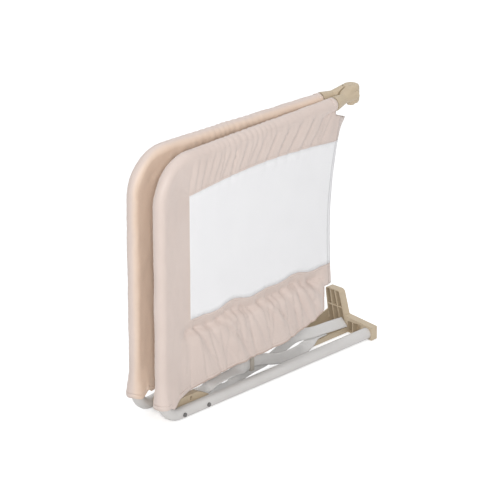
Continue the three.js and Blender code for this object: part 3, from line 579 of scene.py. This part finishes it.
def gather(cover, x, z):
    """How far the cloth stands out from the panel's middle plane, outwards positive."""
    top, foot = window_top(x), window_foot(x, cover.seed)
    above, below = z - top, foot - z
    under_seam = below - SEAM_DROP
    spread = 1.0 + max(0.0, under_seam) / FOOT_SPREAD
    stand = top_share(above, z) * folds_at(cover.top_folds, x, above)
    stand += foot_share(below) * folds_at(cover.foot_folds, x, under_seam, spread)
    stand += seam_band(below)
    near = ramp(x, *GATHERS_START)
    far = ease((panel_edge(z) - FOLD_LAP - x) / GATHERS_END_W)
    ripple = RIPPLE * noise.noise(Vector((x / RIPPLE_W, z / RIPPLE_H, cover.seed * RIPPLE_SEED)))
    if foot <= z <= top:
        ripple *= RIPPLE_ON_NETTING
    return stand * near * far + ripple * ramp(z - hem_z(x), *RIPPLE_STARTS) * far


# The cover's panel and netting share one grid; rows run down and columns towards the fold
NEAR_COLUMNS, FAR_COLUMNS, END_COLUMNS = 14, 120, 5
EDGE_COLUMN = NEAR_COLUMNS + FAR_COLUMNS
PANEL_COLUMNS = EDGE_COLUMN + END_COLUMNS
NOTCH_ROWS, TOP_ROWS, WINDOW_ROWS, LOW_ROWS, FOOT_ROWS = 3, 16, 26, 10, 22
ROW_COUNTS = (NOTCH_ROWS, TOP_ROWS, WINDOW_ROWS, LOW_ROWS, FOOT_ROWS)
WINDOW_ROW = NOTCH_ROWS + TOP_ROWS
LOW_ROW = WINDOW_ROW + WINDOW_ROWS
FOOT_ROW = LOW_ROW + LOW_ROWS
PANEL_ROWS = FOOT_ROW + FOOT_ROWS
EDGE_GUESS_X = -90.0
NOTCH_RAISE, NOTCH_RAISE_START, NOTCH_RAISE_Z = 5.0, (-40.0, -14.0), 436.0


def rounded_corner(x, z):
    a = (WINDOW_START - x) / PANEL_CORNER
    b = (z - WINDOW_TOP_Z) / PANEL_CORNER
    if a <= 0 or b <= 0:
        return x, z
    return (WINDOW_START - a * math.sqrt(1 - b * b / 2) * PANEL_CORNER,
            WINDOW_TOP_Z + b * math.sqrt(1 - a * a / 2) * PANEL_CORNER)


def row_z(j, x, seed):
    levels = (PANEL_TOP_Z, NOTCH_TOP_Z, window_top(x), window_foot(x, seed), NOTCH_FOOT_Z, hem_z(x))
    for rows, upper, lower in zip(ROW_COUNTS, levels, levels[1:]):
        if j <= rows:
            return mix(upper, lower, j / rows)
        j -= rows


def notch_raise(x, z, edge):
    """How far the notch's floor is raised before it slants down to the turn round the fold."""
    along = clamp((edge - x) / NOTCH_W) * ramp(x - edge, *NOTCH_RAISE_START)
    up = ramp(z, NOTCH_RAISE_Z, NOTCH_TOP_Z) * (1 - ramp(z, NOTCH_TOP_Z, PANEL_TOP_Z))
    return NOTCH_RAISE * along * up


def panel_point(cover, i, j):
    """A point of the cover's grid, as it lies in the row frame."""
    if i <= NEAR_COLUMNS:
        x = mix(PANEL_START, WINDOW_START, i / NEAR_COLUMNS)
        x, z = rounded_corner(x, row_z(j, x, cover.seed))
    else:
        edge = panel_edge(row_z(j, EDGE_GUESS_X, cover.seed))
        if i <= EDGE_COLUMN:
            x = mix(WINDOW_START, edge - NOTCH_W, (i - NEAR_COLUMNS) / FAR_COLUMNS)
        else:
            x = mix(edge - NOTCH_W, edge, (i - EDGE_COLUMN) / END_COLUMNS)
        z = row_z(j, x, cover.seed)
        z += notch_raise(x, z, edge)
    return cover_point(cover, x, z)


def cover_point(cover, x, z, out=0.0):
    """A point of the cover's surface, or so far outside it, in the row frame."""
    return world(cover.side, x, -OFFSET - gather(cover, x, z) - out, z)


def in_panel(i, j):
    """Whether a cell of the grid is cloth: neither in the window nor in a notch."""
    window = i >= NEAR_COLUMNS and WINDOW_ROW <= j < LOW_ROW
    notch = i >= EDGE_COLUMN and (j < NOTCH_ROWS or j >= FOOT_ROW)
    return not window and not notch


def make_panel(cover):
    side = cover.side
    verts = [panel_point(cover, i, j) for j in range(PANEL_ROWS + 1) for i in range(PANEL_COLUMNS + 1)]
    verts, faces = clean(verts, grid_faces(PANEL_COLUMNS, PANEL_ROWS, in_panel))
    obj = make_object(f"{side}_cover", verts, faces, COVER_MATS[side], f"{side}_half")
    thicken(obj, CLOTH)
    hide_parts(f"{side}_cover_panel")


def make_netting(cover):
    side = cover.side
    verts = [panel_point(cover, i, j) for j in range(WINDOW_ROW, LOW_ROW + 1)
             for i in range(NEAR_COLUMNS, PANEL_COLUMNS + 1)]
    faces = grid_faces(FAR_COLUMNS + END_COLUMNS, WINDOW_ROWS)
    obj = make_object(f"{side}_netting", verts, faces, NETTING_MAT, f"{side}_half")
    thicken(obj, NETTING)
    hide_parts(f"{side}_mesh_window")


# The cover's outer layer: round the tube, then in to the seam at the netting on both faces
Station = namedtuple("Station", "place inward seam full down")
TOP_STATIONS, BEND_STATIONS, POST_STATIONS = 150, 24, 110
END_STATIONS = 3.0
TURN_POINTS, FLAT_POINTS, FLAT_CROWDING = 30, 14, 0.9
SEAM_REACH, SEAM_HALF = 71.6, 1.1
SEAM_END_REACH, SEAM_GAP = SLEEVE_R + 3, 0.4
DOUBLE_START, DOUBLE_W = 4, 50.0
WRINKLE, WRINKLE_LENGTH, WRINKLE_LEAN, WRINKLE_REACH = 0.6, 2.1, 0.06, 16.0
WANDER, WANDER_LENGTH = 1.4, 17.0
LIVELY_LEAST, LIVELY_PLACE, LIVELY_W = 0.25, 225.0, 80.0
SLACK, SLACK_LENGTH, SLACK_REACH, SLACK_APART = 0.9, 30.0, 14.0, 2.0
SLACK_END_W, WIDENING_END_W = 20.0, 60.0
OPEN_Z, OPEN_H = 90.0, 54.0
OPEN_FLARE, OPEN_ACROSS = {"front": 2.6, "rear": 5.5}, 4.3
FOOT_UNDER_HEM = 0.6
FRONT_FOOT_Z, FRONT_FOOT_DROPS, FRONT_FOOT_CLIMBS = 31.0, (4.0, 18.0), (17.0, 36.0)
REAR_FOOT_ZS, REAR_FOOT_DROPS, REAR_FOOT_CLIMBS = (40.0, 37.0, 47.0), (-12.0, 0.0), (0.0, 14.0)
TOP_TUCK, FOOT_TUCK, TUCK_NEAR, TUCK_FAR = 0.93, 0.94, 1.0, 9.0
SLEEVE_SHARP = math.radians(55)


def end_share(x):
    """How much of the cover's double layer is left near the fold, from 0 to 1."""
    return ease((-SLEEVE_END_X - DOUBLE_START - x) / DOUBLE_W)


def top_seam(x):
    return mix(SEAM_END_REACH, TOP_BAR_Z - window_top(x) - SEAM_GAP, end_share(x))


def sleeve_stations():
    """Places along the tube: the way to the panel, the seam's reach, the share of full shape
    and the share of the way down the post."""
    bend_x, bend_z = -HALF_SPAN + TOP_BEND_R, TOP_BAR_Z - TOP_BEND_R
    out = []
    for k in range(TOP_STATIONS + 1):
        x = mix(-SLEEVE_END_X, bend_x, k / TOP_STATIONS)
        out.append(Station((x, TOP_BAR_Z), (0, -1), top_seam(x), end_share(x), 0.0))
    for k in range(1, BEND_STATIONS + 1):
        a = math.pi / 2 * k / BEND_STATIONS
        place = (bend_x - math.sin(a) * TOP_BEND_R, bend_z + math.cos(a) * TOP_BEND_R)
        out.append(Station(place, (math.sin(a), -math.cos(a)), SEAM_REACH, 1.0, 0.0))
    for k in range(1, POST_STATIONS + 1):
        down = k / POST_STATIONS
        z = mix(bend_z, SLEEVE_FOOT_Z, down)
        out.append(Station((-HALF_SPAN, z), (1, 0), SEAM_REACH, 1.0, down))
    return out


def sleeve_half(reach, seam, full):
    """Half the sleeve's thickness at a distance from the tube's axis towards the panel."""
    round_half = math.sqrt(max(0.0, SLEEVE_R * SLEEVE_R - reach * reach)) if reach < SLEEVE_R else 0.0
    turn = math.acos(SLEEVE_R / seam)
    line = (seam - reach) / math.tan(turn)
    if reach < SLEEVE_R * math.cos(turn):
        line = round_half
    return max(SEAM_HALF, mix(round_half, line, full))


def sleeve_section(seam, full):
    """The sleeve's section, from the seam round the tube and back: reach and half thickness."""
    turn = math.acos(SLEEVE_R / seam)
    flat, around = [], []
    for m in range(FLAT_POINTS):
        reach = mix(seam, SLEEVE_R * math.cos(turn), (m / FLAT_POINTS) ** FLAT_CROWDING)
        flat.append((reach, sleeve_half(reach, seam, full)))
    for m in range(TURN_POINTS + 1):
        angle = mix(turn, 2 * math.pi - turn, m / TURN_POINTS)
        around.append((SLEEVE_R * math.cos(angle), SLEEVE_R * math.sin(angle)))
    return flat + around + [(reach, -half) for reach, half in reversed(flat)]


def sleeve_swell(length, reach, way, seed):
    """Cross wrinkles by the tube, liveliest along the top bar, and slack all over."""
    lively = mix(LIVELY_LEAST, 1.0, math.exp(-((length - LIVELY_PLACE) / LIVELY_W) ** 2))
    wander = WANDER * math.sin(length / WANDER_LENGTH + seed)
    wrinkle = math.sin(length / WRINKLE_LENGTH + wander + WRINKLE_LEAN * reach)
    near = math.exp(-(max(0.0, reach) / WRINKLE_REACH) ** 2)
    slack = noise.noise(Vector((length / SLACK_LENGTH, reach / SLACK_REACH, way * SLACK_APART + seed)))
    return WRINKLE * lively * wrinkle * near + SLACK * slack


def sleeve_foot(side, reach):
    """The height of the sleeve's lower edge; on the rear half it rises to the hem at once."""
    hem = hem_z(reach - HALF_SPAN) - FOOT_UNDER_HEM
    if side == "rear":
        outer, inner, top = REAR_FOOT_ZS
        low = mix(outer, inner, ramp(reach, *REAR_FOOT_DROPS))
        return mix(low, min(hem, top), ramp(reach, *REAR_FOOT_CLIMBS))
    low = mix(SLEEVE_FOOT_Z, FRONT_FOOT_Z, ramp(reach, *FRONT_FOOT_DROPS))
    return mix(low, hem, ramp(reach, *FRONT_FOOT_CLIMBS))


def sleeve_face(x, z):
    """How far the cover's outer face lies from its middle plane."""
    if x > -SLEEVE_END_X or z < hem_z(x):
        return CLOTH / 2
    if x > WINDOW_START and z > WINDOW_TOP_Z:
        reach, seam, full = TOP_BAR_Z - z, top_seam(x), end_share(x)
    else:
        reach, seam, full = x + HALF_SPAN, SEAM_REACH, 1.0
    return sleeve_half(reach, seam, full) if reach < seam else CLOTH / 2


def sleeve_ring(cover, station, length, ends):
    """One ring of the sleeve in the half's own frame; it widens where the leg comes out."""
    opening = ease((OPEN_Z - station.place[1]) / OPEN_H)
    flare, across = OPEN_FLARE[cover.side] * opening, OPEN_ACROSS * opening
    ring = []
    for reach, half in sleeve_section(station.seam, station.full):
        way = 1 if half > 0 else -1
        inwards = station.seam - reach
        swell = sleeve_swell(length, reach, way, cover.seed) * ends * ease(inwards / SLACK_END_W)
        if reach <= SLEEVE_R:
            size = math.hypot(reach, half)
            u, h = reach * (1 + (swell + flare) / size), half * (1 + (swell + across) / size)
        else:
            u, h = reach, half + (swell + across * ease(inwards / WIDENING_END_W)) * way
        x, z = station.place[0] + station.inward[0] * u, station.place[1] + station.inward[1] * u
        if station.down:
            z = mix(TOP_BAR_Z - TOP_BEND_R, sleeve_foot(cover.side, reach), station.down)
        ring.append((x, -OFFSET - h - gather(cover, x, z), z))
    return ring


def tucked(ring, narrowing, along, up):
    """A copy of a ring, drawn in across and moved inside: the sleeve's turned-in end."""
    return [(x + along, -OFFSET + (y + OFFSET) * narrowing, z + up) for x, y, z in ring]


def sleeve_rings(cover):
    stations = sleeve_stations()
    length = 0.0
    rings = []
    for k, station in enumerate(stations):
        if k:
            length += math.dist(station.place, stations[k - 1].place)
        ends = ease(min(k, len(stations) - 1 - k) / END_STATIONS)
        rings.append(sleeve_ring(cover, station, length, ends))
    top_end = [tucked(rings[0], TOP_TUCK, -shift, 0) for shift in (TUCK_FAR, TUCK_NEAR)]
    foot_end = [tucked(rings[-1], FOOT_TUCK, 0, shift) for shift in (TUCK_NEAR, TUCK_FAR)]
    return top_end + rings + foot_end


def make_sleeve(cover):
    side = cover.side
    verts, faces = ring_tube([[world(side, *p) for p in ring] for ring in sleeve_rings(cover)])
    obj = make_object(f"{side}_cover_sleeve", verts, faces, COVER_MATS[side], f"{side}_half")
    face_out(obj)
    obj.data.set_sharp_from_angle(angle=SLEEVE_SHARP)
    thicken(obj, SLEEVE_CLOTH, offset=-1)
    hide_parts(f"{side}_sleeve")


# Binding along the hem and up the notch, in millimetres
BINDING_R, BINDING_SIDES = 1.7, 8
BINDING_START, BINDING_LIFT = WINDOW_START - 4, 0.8
HEM_POINTS, NOTCH_POINTS = 120, 12


def roll(points, radius):
    """Rings of a thin round binding through points in the row frame."""
    rings = []
    for k, p in enumerate(points):
        ahead = points[min(k + 1, len(points) - 1)] - points[max(k - 1, 0)]
        ahead.normalize()
        across = ahead.cross(Vector((0, 1, 0.01))).normalized()
        up = across.cross(ahead).normalized()
        angles = (2 * math.pi * s / BINDING_SIDES for s in range(BINDING_SIDES))
        rings.append([p + (across * math.cos(a) + up * math.sin(a)) * radius * MM for a in angles])
    return rings


def make_binding(cover):
    notch_x = panel_edge(NOTCH_FOOT_Z) - NOTCH_W
    points = []
    for k in range(HEM_POINTS + 1):
        x = mix(BINDING_START, notch_x, k / HEM_POINTS)
        points.append(cover_point(cover, x, hem_z(x) + BINDING_LIFT))
    for k in range(1, NOTCH_POINTS + 1):
        points.append(cover_point(cover, notch_x, mix(hem_z(notch_x), NOTCH_FOOT_Z, k / NOTCH_POINTS)))
    verts, faces = ring_tube(roll(points, BINDING_R), True)
    obj = make_object(f"{cover.side}_hem_binding", verts, faces, EDGE_MAT, f"{cover.side}_half")
    face_out(obj)


# Stitches in millimetres: lines beside the seams, and each stitch's radius at shares of its length
STITCH_STEP, STITCH_START = 5, int(WINDOW_START) - 4
STITCH_SHAPE = ((0, 0.12), (0.25, 0.34), (0.75, 0.34), (1, 0.12))
STITCH_SPAN, STITCH_LIFT = (0.14, 0.86), 0.1
TOP_LINE, TOP_LINE_END = 4.0, -78
FOOT_LINE, SEAM_LINE, FOOT_LINE_END = -4.5, -25.0, -84
HEM_LINE, HEM_LINE_START, HEM_LINE_END = 7.0, int(WINDOW_START) + 4, -96
SIDE_LINE_X, SIDE_LINE_ZS = WINDOW_START - 4.0, (184, 414)


def stitch_lines(seed):
    """Lines of x and z round the netting, along the seam below it and along the hem."""
    foot_xs = range(STITCH_START, FOOT_LINE_END, STITCH_STEP)
    return [[(x, window_top(x) + TOP_LINE) for x in range(STITCH_START, TOP_LINE_END, STITCH_STEP)],
            [(x, window_foot(x, seed) + FOOT_LINE) for x in foot_xs],
            [(x, window_foot(x, seed) + SEAM_LINE) for x in foot_xs],
            [(x, hem_z(x) + HEM_LINE) for x in range(HEM_LINE_START, HEM_LINE_END, STITCH_STEP)],
            [(SIDE_LINE_X, z) for z in range(*SIDE_LINE_ZS, STITCH_STEP)]]


def stitch_place(cover, x, z):
    """A point a little proud of the cover's outer face, in the half's own frame."""
    return Vector((x, -OFFSET - gather(cover, x, z) - sleeve_face(x, z) - STITCH_LIFT, z))


def stitch_rings(cover, start, end):
    """One stitch between two points of a line, as rings of four points."""
    a, b = stitch_place(cover, *start), stitch_place(cover, *end)
    a, b = (a.lerp(b, share) for share in STITCH_SPAN)
    out = Vector((0, -1, 0))
    across = (b - a).normalized().cross(out).normalized()
    return [[world(cover.side, *(a.lerp(b, share) + way * radius)) for way in (across, out, -across, -out)]
            for share, radius in STITCH_SHAPE]


def make_stitches(cover):
    verts, faces = [], []
    for line in stitch_lines(cover.seed):
        for start, end in zip(line, line[1:]):
            more_verts, more_faces = ring_tube(stitch_rings(cover, start, end), True)
            faces += [tuple(len(verts) + k for k in face) for face in more_faces]
            verts += more_verts
    obj = make_object(f"{cover.side}_stitching", verts, faces, THREAD_MAT, f"{cover.side}_half")
    face_out(obj)


def make_cover(side, shape_seed, fold_seed):
    rng = random.Random(fold_seed)
    cover = Cover(side, shape_seed, make_top_folds(rng), make_foot_folds(rng))
    make_sleeve(cover)
    make_panel(cover)
    make_netting(cover)
    make_binding(cover)
    make_stitches(cover)


make_cover("front", shape_seed=1.3, fold_seed=7)
make_cover("rear", shape_seed=4.9, fold_seed=19)


# The cloth and netting that turn round the fold; sinks are in thicknesses, sizes in millimetres
TURN_STEPS = 18
TURN_ROOT = 2.0
LAP_SINK, ROOT_SINK, ROUND_SINK = 1.0, 0.8, 0.6
CREASE, CREASE_LENGTH, CREASE_TURNS = 0.5, 9.0, 3
PINCH_Z, PINCH_OUT, PINCH_SHARE = 418.0, 11.0, 0.62
DIP_Z, DIP = 420.0, 12.0
TURN_GAP = 0.2
TURN_SORTS = {"cloth": (CLOTH, COVER_MATS["front"]), "netting": (NETTING, NETTING_MAT)}


def half_gap(x):
    return OFFSET + abs(x) * math.tan(FOLD_ANGLE)


def turn_row(z, thickness):
    """One row of the turn, from the front half's lap round to the rear half's, in the row frame."""
    edge = panel_edge(z)
    lap_x, lap_y = edge - FOLD_LAP, half_gap(edge - FOLD_LAP) - thickness * LAP_SINK
    root_x, root_y = edge - TURN_ROOT, half_gap(edge) - thickness * ROOT_SINK
    reach = half_gap(edge) - thickness * ROUND_SINK
    pinch = ramp(z, PINCH_Z, NOTCH_TOP_Z)
    row = [(lap_x, -lap_y, z), (root_x, -root_y, z)]
    for i in range(TURN_STEPS):
        angle = math.pi * (i + 0.5) / (TURN_STEPS + 1) - math.pi / 2
        bulge = math.cos(angle)
        crease = CREASE * math.sin(z / CREASE_LENGTH + CREASE_TURNS * angle) + PINCH_OUT * pinch
        row.append((edge + (reach + crease * bulge) * bulge,
                    reach * math.sin(angle) * (1 - PINCH_SHARE * pinch * bulge),
                    z - DIP * ramp(z, DIP_Z, NOTCH_TOP_Z) * bulge))
    row += [(root_x, root_y, z), (lap_x, lap_y, z)]
    return [Vector((x + SHIFT[0], y + SHIFT[1], height)) * MM for x, y, height in row]


def apply_modifier(obj, modifier):
    bpy.context.view_layer.objects.active = obj
    obj.select_set(True)
    bpy.ops.object.modifier_apply(modifier=modifier.name)
    obj.select_set(False)


def make_turn(name, node, slot, top, foot, rows):
    thickness, mat = TURN_SORTS[slot]
    verts = [p for j in range(rows + 1) for p in turn_row(mix(top, foot, j / rows), thickness)]
    obj = make_object(name, verts, grid_faces(TURN_STEPS + 3, rows), mat)
    apply_modifier(obj, thicken(obj, thickness))
    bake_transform(obj)
    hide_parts(node)


make_turn("fold_cloth_top", "fold_top_cloth", "cloth",
          top=NOTCH_TOP_Z, foot=WINDOW_TOP_Z + TURN_GAP, rows=8)
make_turn("fold_netting", "fold_mesh", "netting",
          top=WINDOW_TOP_Z - TURN_GAP, foot=WINDOW_FOOT_Z + TURN_GAP, rows=30)
make_turn("fold_cloth_foot", "fold_foot_cloth", "cloth",
          top=WINDOW_FOOT_Z - TURN_GAP, foot=NOTCH_FOOT_Z, rows=6)


# Legs: smooth bent tubes in place of the faceted ones
LEG_SIDES = 48
LEG_POST_ZS = (POST_SPLIT_Z, 90, 70, TUBE_R + FOOT_BEND_R)
LEG_BEND_STEPS, LEG_FOOT_STEPS = 16, 30
LEG_SHARP = math.radians(40)


def leg_path():
    """Places along the leg's middle and the way it runs there, both as x and z."""
    out = [((0, z), (0, -1)) for z in LEG_POST_ZS]
    for k in range(1, LEG_BEND_STEPS + 1):
        a = math.pi / 2 * k / LEG_BEND_STEPS
        place = (FOOT_BEND_R - math.cos(a) * FOOT_BEND_R, TUBE_R + FOOT_BEND_R - math.sin(a) * FOOT_BEND_R)
        out.append((place, (math.sin(a), -math.cos(a))))
    for k in range(1, LEG_FOOT_STEPS + 1):
        out.append(((mix(FOOT_BEND_R, LEG_REACH, k / LEG_FOOT_STEPS), TUBE_R), (1, 0)))
    return out


def leg_rings(side, radius):
    rings = []
    for (x, z), (dx, dz) in leg_path():
        ring = []
        for s in range(LEG_SIDES):
            angle = 2 * math.pi * s / LEG_SIDES
            u, v = math.cos(angle) * radius, math.sin(angle) * radius
            ring.append(leg_world(side, x - dz * u, v, z + dx * u))
        rings.append(ring)
    return rings


def make_leg(side):
    outer, inner = leg_rings(side, TUBE_R), leg_rings(side, TUBE_R - TUBE_WALL)
    verts, faces = ring_tube(outer + inner[::-1] + outer[:1])
    obj = make_object(f"{side}_leg", verts, faces, PAINT_MAT, f"{side}_leg")
    face_out(obj, merge=True)
    obj.data.set_sharp_from_angle(angle=LEG_SHARP)
    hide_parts(f"{side}_leg_tube")


make_leg("front")
make_leg("rear")


# Webbing straps on the front leg, along the CAD model's routes
STRAP_W, STRAP_T = 22.0, 1.6
STRAP_FOOT_Z = 1.5
STRAP_STEPS, STRAP_COLUMNS = 240, 10
STRAP_EDGE_LOSS, STRAP_EDGE_POWER = 0.7, 8
STRAP_LOOK = 0.002
LOW_ENDS = ((102.0, 30.5), (535.4, 50.0))
HIGH_ENDS = ((102.0, 27.5), (480.0, 58.5))
# Each row of a route: shares along, across and up, and the lean, 1 for lying flat
LOW_ROUTE = [(0, 0, 0, 0), (0.067, 0, 0.02, 0), (0.134, -0.08, -0.02, 0.85), (0.224, -0.23, -0.2, 0.9),
             (0.314, 0.26, -0.02, 0.15), (0.385, 0.49, 0, 0), (0.489, 0.78, 0, 0), (0.602, 1.15, 0.3, 0.05),
             (0.711, 1.52, 0.62, 0.2), (0.815, 1.45, 0.42, 0.55), (0.918, 1.3, 0.35, 0.55),
             (1, 1.2, 0.28, 0.55)]
HIGH_ROUTE = [(0, 0, 0.25, 0), (0.077, 0, 0.34, 0), (0.153, 0.015, 0.61, 0.85), (0.273, -0.046, 0.79, 0.9),
              (0.352, 0, 0.82, 0.3), (0.413, 0.09, 0.84, 0), (0.492, 0.14, 0.7, 0), (0.571, 0.155, 0.3, 0),
              (0.656, 0.17, 0.01, 0.05), (0.762, 0.215, 0, 0.15), (0.847, 0.48, -0.03, 0.75),
              (0.915, 0.85, -0.02, 1), (1, 1, -0.04, 1)]


def centripetal(points, t):
    """A point of the centripetal curve through points, t from 0 to 1."""
    last = len(points) - 1
    k = min(last - 1, int(t * last))
    w = t * last - k
    p1, p2 = points[k], points[k + 1]
    p0 = points[k - 1] if k else p1 * 2 - p2
    p3 = points[k + 2] if k + 2 <= last else p2 * 2 - p1
    d0, d1, d2 = ((b - a).length ** 0.5 for a, b in ((p0, p1), (p1, p2), (p2, p3)))
    d1 = d1 if d1 >= 1e-4 else 1.0
    d0 = d0 if d0 >= 1e-4 else d1
    d2 = d2 if d2 >= 1e-4 else d1
    m1 = ((p1 - p0) / d0 - (p2 - p0) / (d0 + d1) + (p2 - p1) / d1) * d1
    m2 = ((p2 - p1) / d1 - (p3 - p1) / (d1 + d2) + (p3 - p2) / d2) * d1
    return p1 + m1 * w + (p1 * -3 + p2 * 3 - m1 * 2 - m2) * w**2 + (p1 * 2 - p2 * 2 + m1 + m2) * w**3


def strap_stops(route, ends):
    """The route's points in the leg's own frame, and its leans as points on one line."""
    (start_x, start_y), (end_x, end_y) = ends
    stops, leans = [], []
    for along, across, up, lean in route:
        z = STRAP_FOOT_Z + STRAP_W / 2 + up * STRAP_W
        stops.append(Vector((mix(start_x, end_x, along), mix(start_y, end_y, across), z)))
        leans.append(Vector((lean, 0, 0)))
    return stops, leans


def strap_ways(stops, leans, t):
    """The directions across the strap's width and through its thickness."""
    ahead = centripetal(stops, min(1, t + STRAP_LOOK)) - centripetal(stops, max(0, t - STRAP_LOOK))
    tangent = ahead.normalized()
    level = Vector((-tangent.y, tangent.x, 0)).normalized()
    rise = tangent.cross(level)
    angle = math.pi / 2 * centripetal(leans, t).x
    wide = rise * math.cos(angle) + level * math.sin(angle)
    thick = level * math.cos(angle) - rise * math.sin(angle)
    return wide, thick


def strap_faces():
    """Faces of a closed band: the outer grid, the inner one turned over, and the four edges."""
    w = STRAP_COLUMNS + 1
    count = w * (STRAP_STEPS + 1)
    faces = grid_faces(STRAP_COLUMNS, STRAP_STEPS)
    faces += [tuple(v + count for v in face[::-1]) for face in faces]
    for k in range(STRAP_STEPS):
        a, b = k * w, (k + 1) * w
        faces.append((a, b, b + count, a + count))
        faces.append((b + w - 1, a + w - 1, a + w - 1 + count, b + w - 1 + count))
    for m in range(STRAP_COLUMNS):
        faces.append((m + 1, m, m + count, m + 1 + count))
        e = STRAP_STEPS * w + m
        faces.append((e, e + 1, e + 1 + count, e + count))
    return faces


def strap_points(route, ends):
    """The strap's outer points, its inner points and the length up to each step."""
    stops, leans = strap_stops(route, ends)
    outer, inner, lengths = [], [], []
    before, length = stops[0], 0.0
    for k in range(STRAP_STEPS + 1):
        middle = centripetal(stops, k / STRAP_STEPS)
        length += (middle - before).length
        lengths.append(length)
        before = middle
        wide, thick = strap_ways(stops, leans, k / STRAP_STEPS)
        for m in range(STRAP_COLUMNS + 1):
            v = m / STRAP_COLUMNS - 0.5
            half = STRAP_T / 2 * (1 - STRAP_EDGE_LOSS * abs(2 * v) ** STRAP_EDGE_POWER)
            point = middle + wide * (v * STRAP_W)
            outer.append(leg_world("front", *(point + thick * half)))
            inner.append(leg_world("front", *(point - thick * half)))
    return outer, inner, lengths


def lay_out_strap(obj, lengths):
    """The strap's own coordinates for its weave: millimetres along and across."""
    w = STRAP_COLUMNS + 1
    uv = obj.data.uv_layers.new(name="strap")
    for loop in obj.data.loops:
        step, column = divmod(loop.vertex_index % (w * len(lengths)), w)
        uv.data[loop.index].uv = (lengths[step], column * STRAP_W / STRAP_COLUMNS)


def make_strap(name, node, route, ends):
    outer, inner, lengths = strap_points(route, ends)
    obj = make_object(name, outer + inner, strap_faces(), WEBBING_MAT, "front_leg")
    lay_out_strap(obj, lengths)
    face_out(obj)
    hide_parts(node)


make_strap("strap_low", "low_strap", LOW_ROUTE, LOW_ENDS)
make_strap("strap_high", "high_strap", HIGH_ROUTE, HIGH_ENDS)


# CAD nodes that stay get their finish, and soft edges where they are moulded
MOULDED_EDGE = 0.5
EDGE_ANGLE = math.radians(40)
STEEL_WORDS = ("screw", "rivet", "pin", "spigot")


def soften_edges(obj):
    bevel = obj.modifiers.new("edges", "BEVEL")
    bevel.width = MOULDED_EDGE * MM
    bevel.segments = 2
    bevel.limit_method = "ANGLE"
    bevel.angle_limit = EDGE_ANGLE


def finish_node(name, obj):
    if any(word in name for word in STEEL_WORDS):
        finish = STEEL_MAT
    elif "rail_tube" in name:
        finish = PAINT_MAT
    else:
        finish = SLIDER_MAT if name == "strap_slider" else PLASTIC_MAT
        soften_edges(obj)
    obj.data.materials.clear()
    obj.data.materials.append(finish)


for node_name, node_object in NODES.items():
    if not node_object.hide_render:
        finish_node(node_name, node_object)


# Studio, in metres: white floor and world for the camera, soft light for the object
FLOOR_HALF, FLOOR_Z = 6.0, -0.0015
FLOOR_GREY, FLOOR_GLOW = 0.8, 0.55
FILL_COLOUR, FILL_STRENGTH = (0.98, 0.985, 1.0), 0.60


def light(name, place, aim, size, power, colour=(1, 1, 1)):
    data = bpy.data.lights.new(name, "AREA")
    data.shape = "RECTANGLE"
    data.size, data.size_y = size
    data.energy = power
    data.color = colour
    obj = bpy.data.objects.new(name, data)
    bpy.context.scene.collection.objects.link(obj)
    obj.location = place
    obj.rotation_mode = "QUATERNION"
    obj.rotation_quaternion = (Vector(aim) - Vector(place)).to_track_quat("-Z", "Y")


def seen_directly(tree):
    """1 for rays from the camera and for those that polish or glass sends on."""
    path = add(tree, "ShaderNodeLightPath")
    either = maths(tree, "MAXIMUM", path.outputs["Is Camera Ray"], path.outputs["Is Glossy Ray"])
    return maths(tree, "MAXIMUM", either, path.outputs["Is Transmission Ray"])


def floor_material():
    """Plain grey for the light that falls on it, with a glow where it is seen directly."""
    mat = bpy.data.materials.new("floor_white")
    mat.use_nodes = True
    tree = mat.node_tree
    tree.nodes.clear()
    out = add(tree, "ShaderNodeOutputMaterial")
    glow = add(tree, "ShaderNodeEmission")
    link(tree, maths(tree, "MULTIPLY", seen_directly(tree), FLOOR_GLOW), glow.inputs["Strength"])
    lit = add(tree, "ShaderNodeBsdfDiffuse")
    lit.inputs["Color"].default_value = (FLOOR_GREY, FLOOR_GREY, FLOOR_GREY, 1)
    both = add(tree, "ShaderNodeAddShader")
    link(tree, lit.outputs[0], both.inputs[0])
    link(tree, glow.outputs[0], both.inputs[1])
    link(tree, both.outputs[0], out.inputs["Surface"])
    return mat


def make_floor():
    corners = [(x * FLOOR_HALF, y * FLOOR_HALF, FLOOR_Z) for x, y in ((-1, -1), (1, -1), (1, 1), (-1, 1))]
    floor = make_object("floor", corners, [(0, 1, 2, 3)], floor_material())


def make_world():
    """White where it is seen directly, and a dimmer, slightly cool fill for all other rays."""
    data = bpy.data.worlds.new("studio")
    bpy.context.scene.world = data
    data.use_nodes = True
    tree = data.node_tree
    tree.nodes.clear()
    out = add(tree, "ShaderNodeOutputWorld")
    fill = add(tree, "ShaderNodeBackground")
    fill.inputs["Color"].default_value = (*FILL_COLOUR, 1)
    fill.inputs["Strength"].default_value = FILL_STRENGTH
    white = add(tree, "ShaderNodeBackground")
    white.inputs["Color"].default_value = (1, 1, 1, 1)
    choose = add(tree, "ShaderNodeMixShader")
    link(tree, seen_directly(tree), choose.inputs[0])
    link(tree, fill.outputs[0], choose.inputs[1])
    link(tree, white.outputs[0], choose.inputs[2])
    link(tree, choose.outputs[0], out.inputs["Surface"])


def make_studio():
    bpy.context.scene.view_settings.view_transform = "Standard"
    make_floor()
    make_world()
    light("key", place=(-2.5, -2.6, 1.7), aim=(-0.1, 0, 0.22), size=(0.55, 0.55), power=63,
          colour=(1.0, 0.99, 0.98))
    light("top", place=(0.3, 0.4, 2.8), aim=(0, 0, 0.2), size=(1.4, 1.0), power=12)


make_studio()
